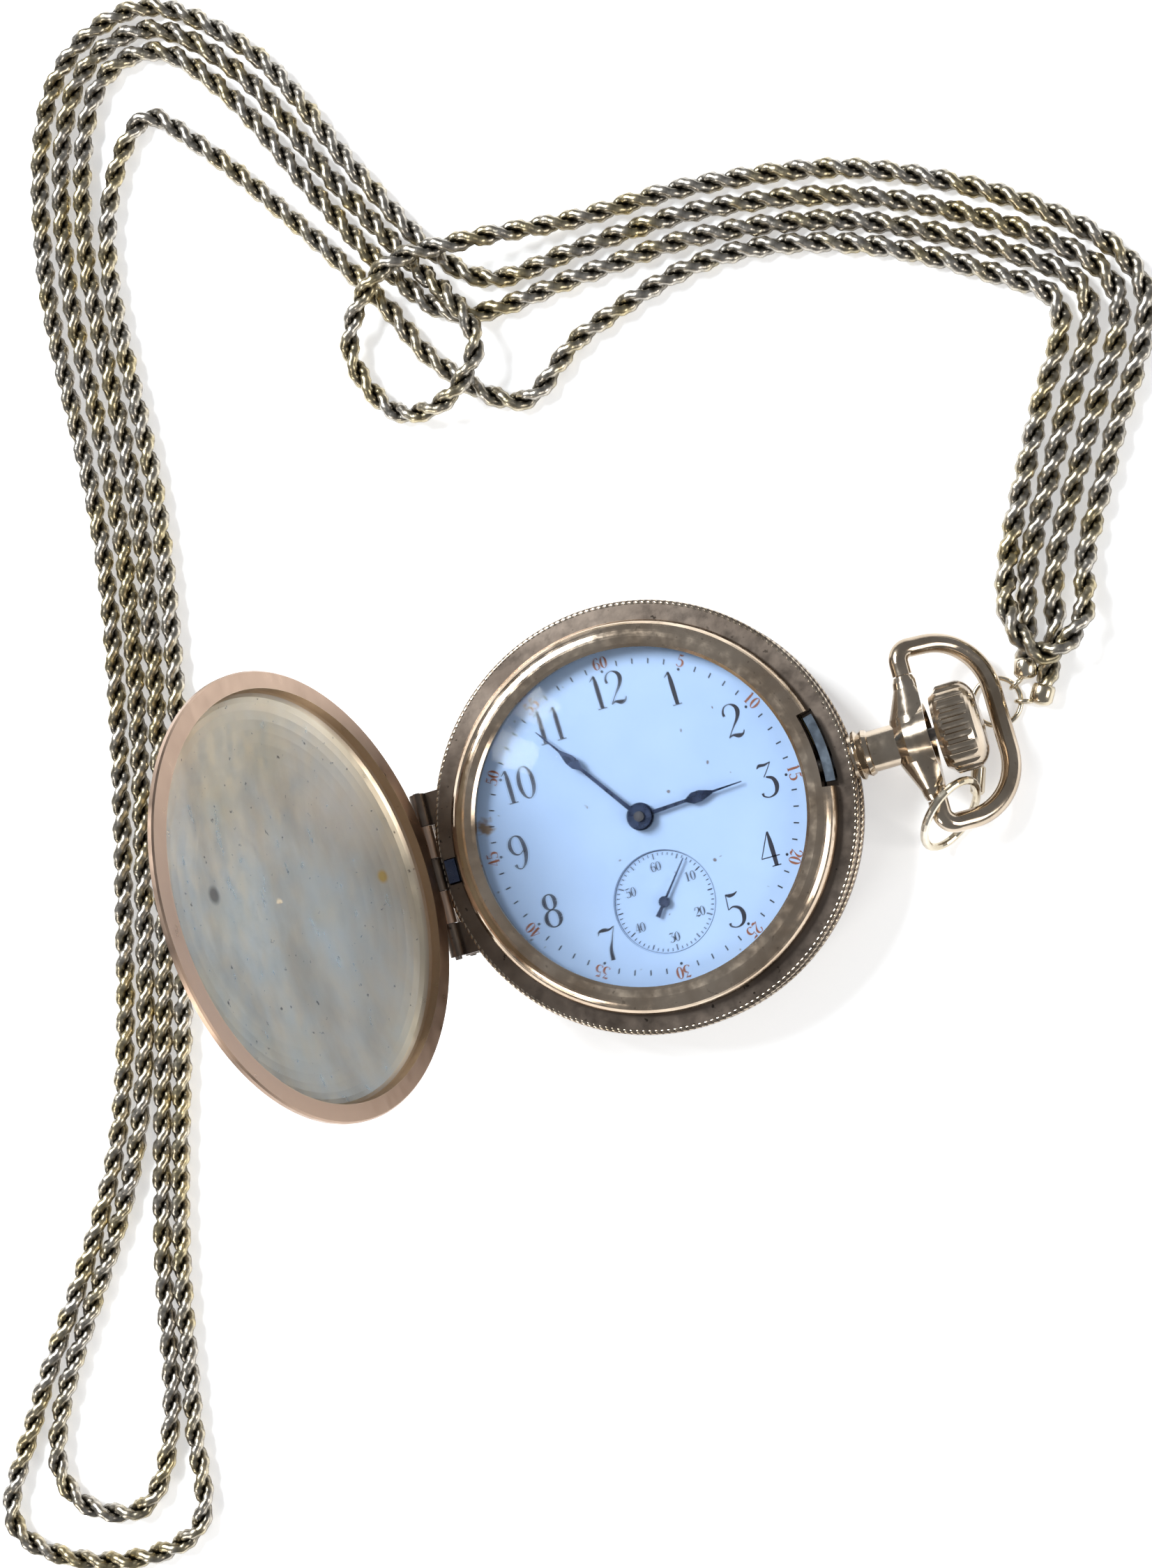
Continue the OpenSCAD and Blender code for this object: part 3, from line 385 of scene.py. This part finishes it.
def link_gold():
    return worn_metal("link_gold", light=(0.72, 0.65, 0.54), dark=(0.50, 0.43, 0.31),
                      rough=0.20, grain=0.10)


def pin_steel():
    return worn_metal("pin_steel", light=(0.50, 0.48, 0.46), dark=(0.20, 0.18, 0.17),
                      rough=0.35, grain=0.20)


def blued_steel():
    return worn_metal("blued_steel", light=(0.10, 0.13, 0.22), dark=(0.035, 0.05, 0.10),
                      rough=0.28, grain=0.06)


def catch_blue():
    """The catch is a lighter, greyer blue than the hands."""
    return worn_metal("catch_blue", light=(0.30, 0.36, 0.43), dark=(0.13, 0.17, 0.22),
                      rough=0.22, grain=0.08)


def dark_steel():
    return worn_metal("dark_steel", light=(0.16, 0.165, 0.18), dark=(0.06, 0.06, 0.07),
                      rough=0.30, grain=0.08)


def plate_gilt():
    return worn_metal("plate_gilt", light=(0.80, 0.64, 0.33), dark=(0.66, 0.50, 0.24),
                      rough=0.36, grain=0.12)


def nickel():
    """Nickel with its scratches drawn out into fine bands."""
    return worn_metal("nickel", light=(0.74, 0.72, 0.67), dark=(0.60, 0.58, 0.53),
                      rough=0.26, grain=0.12, stretch=(1, 14, 1))


def steel():
    return worn_metal("steel", light=(0.62, 0.62, 0.64), dark=(0.45, 0.45, 0.47),
                      rough=0.24, grain=0.08)


def wheel_brass():
    return worn_metal("wheel_brass", light=(0.80, 0.63, 0.28), dark=(0.66, 0.49, 0.19),
                      rough=0.26, grain=0.06)


def ruby():
    return plain_finish("ruby", (0.55, 0.02, 0.10), rough=0.08)


LID_WALL_R = CASE_R - 1.6 * MM
WALL_BLEND = 0.5 * MM


def closed_lid_place(tree):
    """Where each point of the lid is when the lid is closed: its place turned back about the hinge."""
    turn = Matrix.Rotation(LID_OPEN, 3, "Y")
    closed = add(tree, "ShaderNodeMapping", Rotation=(0, LID_OPEN, 0), Location=LID_HINGE - turn @ LID_HINGE)
    tree.links.new(own_place(tree), closed.inputs["Vector"])
    return closed.outputs["Vector"]


def lid_gold():
    """Satin gold in grey and yellow streaks, with a pinker, duller band round the wall of the lid."""
    made, tree, shader = material("lid_gold", metallic=1.0)
    place = closed_lid_place(tree)
    colour = ramp(tree, noise(tree, 110, 6, (1.3, 0.6, 1), place), [
        (0.30, (0.58, 0.47, 0.33)),
        (0.46, (0.72, 0.61, 0.45)),
        (0.68, (0.80, 0.70, 0.54)),
    ])
    yellow = ramp(tree, noise(tree, 60, 3, place=place), [(0.50, 0.0), (0.72, 0.5)])
    colour = blend_colours(tree, yellow, colour, (0.62, 0.50, 0.29))
    specks = ramp(tree, noise(tree, 1300, 2, place=place), [(0.24, 0.8), (0.30, 0.0)])
    colour = blend_colours(tree, specks, colour, (0.13, 0.10, 0.08))
    # distance from the lid's middle line tells the wall from the dome
    flat = add(tree, "ShaderNodeVectorMath", operation="MULTIPLY")
    flat.inputs[1].default_value = (1, 1, 0)
    tree.links.new(place, flat.inputs[0])
    reach = distance_from(tree, flat.outputs["Vector"], (0, 0, 0))
    wall = fade(tree, reach, LID_WALL_R - WALL_BLEND, LID_WALL_R)
    colour = blend_colours(tree, wall, colour, (0.40, 0.285, 0.215))
    # two stains on the dome, one dark and one where the gold shows: place, radius and colour
    stains = [
        (9.5 * MM, 1.5 * MM, 1.0 * MM, (0.16, 0.12, 0.09)),
        (-15.5 * MM, 1.0 * MM, 0.8 * MM, (0.72, 0.42, 0.06)),
    ]
    for x, y, r, shade in stains:
        away = distance_from(tree, flat.outputs["Vector"], (x, y, 0))
        spot = fade(tree, away, r / 2, r, first=0.75, last=0.0)
        colour = blend_colours(tree, spot, colour, shade)
    tree.links.new(colour, shader.inputs["Base Color"])
    scratches = noise(tree, 800, 5, (1, 0.5, 1), place)
    roughness = ramp(tree, scratches, [(0.3, 0.27), (0.7, 0.42)])
    tree.links.new(roughness, shader.inputs["Roughness"])
    bump(tree, shader, scratches, 0.12, 0.04 * MM)
    return made


def rope_metal():
    """Gold and grey links, with painted shade where the links lie deep."""
    made, tree, shader = material("rope_metal", metallic=1.0)
    painted_shading = add(tree, "ShaderNodeVertexColor", layer_name="painted_shading")
    bright = ramp(tree, noise(tree, 260, 3), [(0.36, (0.60, 0.50, 0.30)), (0.58, (0.60, 0.55, 0.48))])
    # painted shade: near-black where the rope's painted shading is 0, the gold and grey of the links where
    # it is 1
    colour = blend_colours(tree, painted_shading.outputs["Color"], (0.030, 0.026, 0.018), bright)
    tree.links.new(colour, shader.inputs["Base Color"])
    shader.inputs["Roughness"].default_value = 0.30
    bump(tree, shader, noise(tree, 2600, 2), 0.25, 0.08 * MM)
    return made


def crystal_glass():
    made, tree, shader = material("crystal_glass")
    shader.inputs["Base Color"].default_value = (0.96, 0.98, 1.0, 1)
    shader.inputs["Roughness"].default_value = 0.02
    shader.inputs["IOR"].default_value = 1.3
    shader.inputs["Transmission Weight"].default_value = 1.0
    shader.inputs["Alpha"].default_value = 0.16
    return made


def on_circle(centre, r, angle):
    return (centre[0] + r * math.cos(angle), centre[1] + r * math.sin(angle))


def clock_angle(share):
    """Angle from +X of a share of the way round the dial from the top."""
    return math.pi / 2 - share * 2 * math.pi


def enamel():
    """Pale blue-white enamel with a few specks and a rust stain near the 47th minute."""
    made, tree, shader = material("enamel")
    colour = ramp(tree, noise(tree, 90, 3), [(0.3, (0.345, 0.49, 0.75)), (0.7, (0.395, 0.545, 0.80))])
    specks = ramp(tree, noise(tree, 1100, 1), [(0.20, 1.0), (0.235, 0.0)])
    colour = blend_colours(tree, specks, colour, (0.16, 0.15, 0.17))
    # the stain's edge is made uneven by adding noise to the distance from its middle
    stain_at = (*on_circle(DIAL_AT, DIAL_R - 1.45 * MM, clock_angle(47 / 60)), DIAL_Z)
    uneven = add(tree, "ShaderNodeMath", operation="MULTIPLY_ADD")
    tree.links.new(noise(tree, 1600, 3), uneven.inputs[0])
    uneven.inputs[1].default_value = 1.6 * MM
    tree.links.new(distance_from(tree, own_place(tree), stain_at), uneven.inputs[2])
    stain = fade(tree, uneven.outputs[0], 1.25 * MM, 1.75 * MM, first=0.9, last=0.0)
    colour = blend_colours(tree, stain, colour, (0.20, 0.12, 0.045))
    tree.links.new(colour, shader.inputs["Base Color"])
    shader.inputs["Roughness"].default_value = 0.22
    shader.inputs["Coat Weight"].default_value = 0.4
    shader.inputs["Coat Roughness"].default_value = 0.08
    return made


finishes = {
    "case_gold": case_gold(),
    "bezel_gold": bezel_gold(),
    "lid_gold": lid_gold(),
    "pendant_gold": pendant_gold(),
    "link_gold": link_gold(),
    "pin_steel": pin_steel(),
    "blued_steel": blued_steel(),
    "dark_steel": dark_steel(),
    "plate_gilt": plate_gilt(),
    "nickel": nickel(),
    "steel": steel(),
    "wheel_brass": wheel_brass(),
    "ruby": ruby(),
    "crystal_glass": crystal_glass(),
    "enamel": enamel(),
    "rope_metal": rope_metal(),
}
slot_of = {row["node"]: row["material_slot"] for row in frame["record"]["subparts"]}
for name, node in nodes.items():
    if node.type == "MESH" and name in slot_of:
        node.data.materials.clear()
        node.data.materials.append(finishes[slot_of[name]])
nodes["lock_spring"].data.materials[0] = catch_blue()
rope_piece.data.materials.append(finishes["rope_metal"])


def finish(piece, slot_name, made=None):
    """Give a piece the material of its slot, or another that stands for it."""
    piece.data.materials.append(made or finishes[slot_name])


# ---- figures of the dial ----

# Each figure is a set of pen strokes: points (across, up) with the pen's width there,
# for a figure 1 high, whose middle is at MID_ACROSS, MID_UP
MID_ACROSS = 0.27
MID_UP = 0.5
BOWL = [
    (0.10, 0.54, 0.02), (0.25, 0.60, 0.05), (0.43, 0.51, 0.10), (0.49, 0.30, 0.13),
    (0.41, 0.09, 0.08), (0.22, 0.015, 0.035), (0.06, 0.08, 0.05), (0.04, 0.17, 0.08),
]
SIX = [
    (0.45, 0.84, 0.09), (0.40, 0.95, 0.04), (0.28, 0.985, 0.03), (0.13, 0.82, 0.08), (0.06, 0.48, 0.13),
    (0.12, 0.13, 0.09), (0.27, 0.015, 0.03), (0.43, 0.10, 0.07), (0.49, 0.30, 0.11), (0.42, 0.50, 0.07),
    (0.28, 0.575, 0.03), (0.14, 0.50, 0.03), (0.08, 0.40, 0.03),
]


def loop(x, y, rx, ry):
    """Round stroke, thick at its sides and thin above and below."""
    turn = [i * math.pi / 10 for i in range(21)]
    return [(x + rx * math.cos(a), y + ry * math.sin(a), 0.03 + 0.10 * math.cos(a) ** 2) for a in turn]


STROKES = {
    "0": [loop(MID_ACROSS, MID_UP, 0.21, 0.475)],
    "1": [
        [(0.23, 1.0, 0.05), (0.24, 0.75, 0.12), (0.25, 0.4, 0.13), (0.26, 0.02, 0.11)],
        [(0.08, 0.86, 0.02), (0.16, 0.93, 0.04), (0.23, 0.99, 0.05)],
        [(0.12, 0.015, 0.03), (0.40, 0.015, 0.03)],
    ],
    "2": [
        [(0.07, 0.68, 0.08), (0.06, 0.80, 0.06), (0.13, 0.94, 0.04), (0.28, 0.985, 0.03),
         (0.43, 0.90, 0.09), (0.48, 0.74, 0.13), (0.41, 0.54, 0.09), (0.23, 0.30, 0.035),
         (0.06, 0.06, 0.025)],
        [(0.05, 0.05, 0.03), (0.18, 0.10, 0.06), (0.34, 0.05, 0.13), (0.47, 0.07, 0.06), (0.53, 0.17, 0.02)],
    ],
    "3": [
        [(0.05, 0.88, 0.02), (0.14, 0.95, 0.09), (0.30, 0.94, 0.07), (0.47, 0.985, 0.02)],
        [(0.47, 0.985, 0.025), (0.33, 0.78, 0.025), (0.19, 0.60, 0.03)],
        BOWL[1:],
    ],
    "4": [
        [(0.36, 1.0, 0.03), (0.02, 0.29, 0.025)],
        [(0.01, 0.28, 0.03), (0.55, 0.28, 0.03)],
        [(0.37, 1.0, 0.05), (0.38, 0.6, 0.13), (0.39, 0.0, 0.11)],
        [(0.26, 0.01, 0.03), (0.52, 0.01, 0.03)],
    ],
    "5": [
        [(0.11, 0.98, 0.03), (0.22, 0.93, 0.10), (0.36, 0.94, 0.07), (0.47, 1.0, 0.02)],
        [(0.12, 0.98, 0.03), (0.10, 0.54, 0.03)],
        BOWL,
    ],
    "6": [SIX],
    "7": [
        [(0.03, 0.82, 0.02), (0.07, 0.92, 0.06), (0.22, 0.94, 0.11), (0.38, 0.92, 0.06), (0.53, 0.99, 0.02)],
        [(0.53, 0.99, 0.02), (0.39, 0.62, 0.04), (0.29, 0.34, 0.10), (0.27, 0.04, 0.13)],
    ],
    "8": [loop(0.265, 0.755, 0.165, 0.225), loop(0.265, 0.27, 0.215, 0.25)],
    # a six turned half round
    "9": [[(2 * MID_ACROSS - x, 2 * MID_UP - y, w) for x, y, w in SIX]],
}


class Printing:
    """Flat ink shapes at one height, gathered into one mesh."""

    def __init__(self, z):
        self.z = z
        self.points = []
        self.faces = []

    def ribbon(self, stroke, origin, across, up, size, weight):
        """Pen stroke, its widths times weight."""
        line = smooth_path(stroke, parts=6) if len(stroke) > 2 else np.array(stroke, float)
        step = np.gradient(line[:, :2], axis=0)
        step /= np.maximum(np.linalg.norm(step, axis=1), 1e-9)[:, None]
        square = np.stack([-step[:, 1], step[:, 0]], 1) * line[:, 2:3] * weight / 2
        first = len(self.points)
        for edge in (line[:, :2] - square, line[:, :2] + square):
            for x, y in edge:
                place = origin + (x - MID_ACROSS) * size * across + (y - MID_UP) * size * up
                self.points.append((place[0], place[1], self.z))
        count = len(line)
        for i in range(first, first + count - 1):
            self.faces.append((i, i + 1, i + 1 + count, i + count))

    def number(self, value, origin, turn, size, spacing, weight=1.0):
        """Number centred on origin, its top turned by an angle from +Y."""
        text = str(value)
        up = np.array([-math.sin(turn), math.cos(turn)])
        across = np.array([up[1], -up[0]])
        for i, figure in enumerate(text):
            shift = (i - (len(text) - 1) / 2) * spacing * size
            for stroke in STROKES[figure]:
                self.ribbon(stroke, np.array(origin) + shift * across, across, up, size, weight)

    def dash(self, centre, angle, r0, r1, width):
        """Short radial mark."""
        out = np.array([math.cos(angle), math.sin(angle)])
        side = np.array([-out[1], out[0]]) * width / 2
        first = len(self.points)
        for r, s in ((r0, -1), (r1, -1), (r1, 1), (r0, 1)):
            place = np.array(centre) + r * out + s * side
            self.points.append((place[0], place[1], self.z))
        self.faces.append((first, first + 1, first + 2, first + 3))

    def dot(self, centre, r, corners=10):
        first = len(self.points)
        for i in range(corners):
            self.points.append((*on_circle(centre, r, i * 2 * math.pi / corners), self.z))
        self.faces.append(tuple(range(first, first + corners)))

    def ring(self, centre, r, width, parts=96, overlap=1.02):
        """Circle of short dashes that overlap a little."""
        for i in range(parts):
            angle = (i + 0.5) * 2 * math.pi / parts
            self.dash(centre, angle, r - width / 2, r + width / 2, 2 * math.pi * r / parts * overlap)

    def piece(self, name, ink):
        made = new_object(name, self.points, self.faces, smooth=False)
        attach(made, "case")
        finish(made, "enamel", ink)


# ---- dial printing ----

BLACK_INK = plain_finish("black_ink", (0.018, 0.020, 0.034), rough=0.35)
RED_INK = plain_finish("red_ink", (0.25, 0.085, 0.045), rough=0.4)
INK_LIFT = 0.012 * MM

HOURS_R = DIAL_R - 4.45 * MM
HOURS_SIZE = 3.35 * MM
# the seconds dial takes the place of the 6
HOURS_SHOWN = [12, 1, 2, 3, 4, 5, 7, 8, 9, 10, 11]
MINUTES_R = DIAL_R - 2.15 * MM
MINUTE_LENGTH = 0.52 * MM
MINUTE_WIDTH = 0.13 * MM
DOTS_R = DIAL_R - 2.6 * MM
DOT_SIZE = 0.14 * MM
FIVES_R = DIAL_R - 1.75 * MM
FIVES_SIZE = 1.18 * MM

black = Printing(DIAL_Z + INK_LIFT)
red = Printing(DIAL_Z + INK_LIFT)
for minute in range(60):
    angle = clock_angle(minute / 60)
    if minute % 5:
        inner = MINUTES_R - MINUTE_LENGTH / 2
        black.dash(DIAL_AT, angle, inner, inner + MINUTE_LENGTH, MINUTE_WIDTH)
    else:
        black.dot(on_circle(DIAL_AT, DOTS_R, angle), DOT_SIZE)
        place = on_circle(DIAL_AT, FIVES_R, angle)
        red.number(minute or 60, place, angle - math.pi / 2, FIVES_SIZE, spacing=0.62, weight=1.5)
for hour in HOURS_SHOWN:
    black.number(hour, on_circle(DIAL_AT, HOURS_R, clock_angle(hour / 12)), 0, HOURS_SIZE, spacing=0.50)

# the sunk seconds dial of the CAD
SECONDS_R = 5.05 * MM
SECONDS_RING_R = SECONDS_R - 0.12 * MM
SECONDS_RING_WIDTH = 0.05 * MM
SECONDS_MARKS_R = SECONDS_R - 0.27 * MM
SECONDS_FIGURES_R = SECONDS_R - 1.55 * MM
SECONDS_SIZE = 0.92 * MM


def second_mark(second):
    """Length and width of a second's mark: the tens are longest, the fives next."""
    if second % 10 == 0:
        return 0.58 * MM, 0.12 * MM
    if second % 5 == 0:
        return 0.48 * MM, 0.12 * MM
    return 0.28 * MM, 0.09 * MM


seconds = Printing(SECONDS_Z + INK_LIFT)
seconds.ring(SECONDS_AT, SECONDS_RING_R, SECONDS_RING_WIDTH)
for second in range(60):
    angle = clock_angle(second / 60)
    length, width = second_mark(second)
    seconds.dash(SECONDS_AT, angle, SECONDS_MARKS_R - length, SECONDS_MARKS_R, width)
    if second % 10 == 0:
        place = on_circle(SECONDS_AT, SECONDS_FIGURES_R, angle)
        seconds.number(second or 60, place, 0, SECONDS_SIZE, spacing=0.56, weight=1.3)
black.piece("dial_hours_and_minutes", BLACK_INK)
red.piece("dial_red_fives", RED_INK)
seconds.piece("dial_seconds_scale", BLACK_INK)


# ---- rope-cut edges of the case band ----

BAND_HEIGHT = 4.1 * MM
BEAD = 0.3 * MM         # radius of the plain bead that the CAD has under each edge
EDGE_WIRE = BEAD * 1.1
CUTS = 210
CUT_DEPTH = 0.16        # as a share of the wire's radius
STEPS_PER_CUT = 12
EDGE_SIDES = 10


def rope_ring(name, r, z):
    """Bead round the case, cut with slanting grooves like a twisted rope."""
    steps = CUTS * STEPS_PER_CUT
    a = np.arange(steps) * 2 * math.pi / steps
    b = np.arange(EDGE_SIDES) * 2 * math.pi / EDGE_SIDES
    wire = EDGE_WIRE * (1 - CUT_DEPTH * np.clip(np.cos(a[:, None] * CUTS + 2 * b[None, :]), 0, 1) ** 2)
    out = r + wire * np.cos(b)
    points = np.stack([out * np.cos(a)[:, None], out * np.sin(a)[:, None], z + wire * np.sin(b)], -1)
    faces = grid_faces(steps + 1, EDGE_SIDES) % (steps * EDGE_SIDES)
    return new_object(name, points.reshape(-1, 3), faces)


for name, z in (("rope_edge_upper", RIM_Z - BEAD), ("rope_edge_lower", RIM_Z - BAND_HEIGHT + BEAD)):
    edge = rope_ring(name, CASE_R - BEAD, z)
    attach(edge, "case")
    finish(edge, "case_gold", finishes["pendant_gold"])


# ---- ends of the rope chain ----

JUMP_WIRE_R = 0.25 * MM
RING_MIDDLE = Vector(middle("jump_ring"))
RING_R = (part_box("jump_ring")[1][0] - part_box("jump_ring")[0][0]) / 2 - JUMP_WIRE_R
EYE_R = 0.75 * MM
EYE_WIRE_R = 0.2 * MM
EYE_SHORT_OF_RING = 0.3 * MM
EYE_NEAREST = 0.5 * MM
# distance past the end of the rope, and radius there
CAP_OUTLINE = [
    (-1.6 * MM, 1.02 * MM), (-1.3 * MM, 1.12 * MM), (-0.1 * MM, 1.12 * MM),
    (0.25 * MM, 0.8 * MM), (0.4 * MM, 0.3 * MM),
]
for name, end, before in (("first", even_path[0], even_path[1]), ("second", even_path[-1], even_path[-2])):
    end = Vector(end)
    cap = turned("chain_cap_" + name, CAP_OUTLINE, end, end - Vector(before))
    # the cap's eye stands upright round the wire of the jump ring
    to_ring = RING_MIDDLE - end
    to_ring.z = 0
    reach = max(to_ring.length - RING_R - EYE_SHORT_OF_RING, EYE_NEAREST)
    eye_at = end + to_ring.normalized() * reach
    eye_at.z = EYE_R + EYE_WIRE_R
    eye = wire_ring("chain_eye_" + name, eye_at, to_ring.cross(Vector((0, 0, 1))), EYE_R, EYE_WIRE_R)
    for piece in (cap, eye):
        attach(piece, "case")
        finish(piece, "link_gold")


# ---- floor and light ----

FLOOR_REACH = 1.0
FLOOR_DROP = 0.05 * MM


def pale_floor():
    made, tree, shader = material("floor")
    shader.inputs["Base Color"].default_value = (0.92, 0.92, 0.92, 1)
    shader.inputs["Roughness"].default_value = 0.9
    shader.inputs["Emission Color"].default_value = (1, 1, 1, 1)
    shader.inputs["Emission Strength"].default_value = 0.45
    return made


corners = [(x * FLOOR_REACH, y * FLOOR_REACH, 0) for x, y in ((-1, -1), (1, -1), (1, 1), (-1, 1))]
floor = new_object("floor", corners, [(0, 1, 2, 3)])
floor.location.z = -FLOOR_DROP
floor.data.materials.append(pale_floor())


def soft_light(name, place, size, power, colour):
    """Square lamp that faces the watch."""
    light = bpy.data.lights.new(name, "AREA")
    light.size = size
    light.energy = power
    light.color = colour
    lamp = bpy.data.objects.new(name, light)
    bpy.context.collection.objects.link(lamp)
    lamp.location = place
    lamp.rotation_euler = (-Vector(place)).to_track_quat("-Z", "Y").to_euler()
    return lamp


COOL = (0.95, 0.98, 1.0)
WARM = (1.0, 0.97, 0.92)
SKY = (0.90, 0.96, 1.0)
lamps = [
    soft_light("key", (-0.30, 0.40, 0.50), size=0.25, power=5.5, colour=COOL),
    soft_light("fill", (0.50, -0.30, 0.35), size=0.30, power=1.6, colour=WARM),
    soft_light("side", (-0.45, -0.35, 0.30), size=0.20, power=1.0, colour=WARM),
]
# a window of four panes, which makes a pale reflection on the upper left of the crystal;
# each pane's place is in pane widths from the window's middle
WINDOW_AT = Vector((-0.26, 0.22, 0.50))
PANE = 0.05
for across in (-0.55, 0.55):
    for up in (-0.66, 0.66):
        place = WINDOW_AT + PANE * Vector((across, across, up))
        lamps.append(soft_light("pane", place, size=PANE, power=0.35, colour=SKY))

world = bpy.data.worlds.new("studio")
world.use_nodes = True
background = world.node_tree.nodes["Background"]
background.inputs["Color"].default_value = (0.80, 0.83, 0.88, 1)
background.inputs["Strength"].default_value = 0.30
bpy.context.scene.world = world
bpy.context.scene.view_settings.view_transform = "Standard"
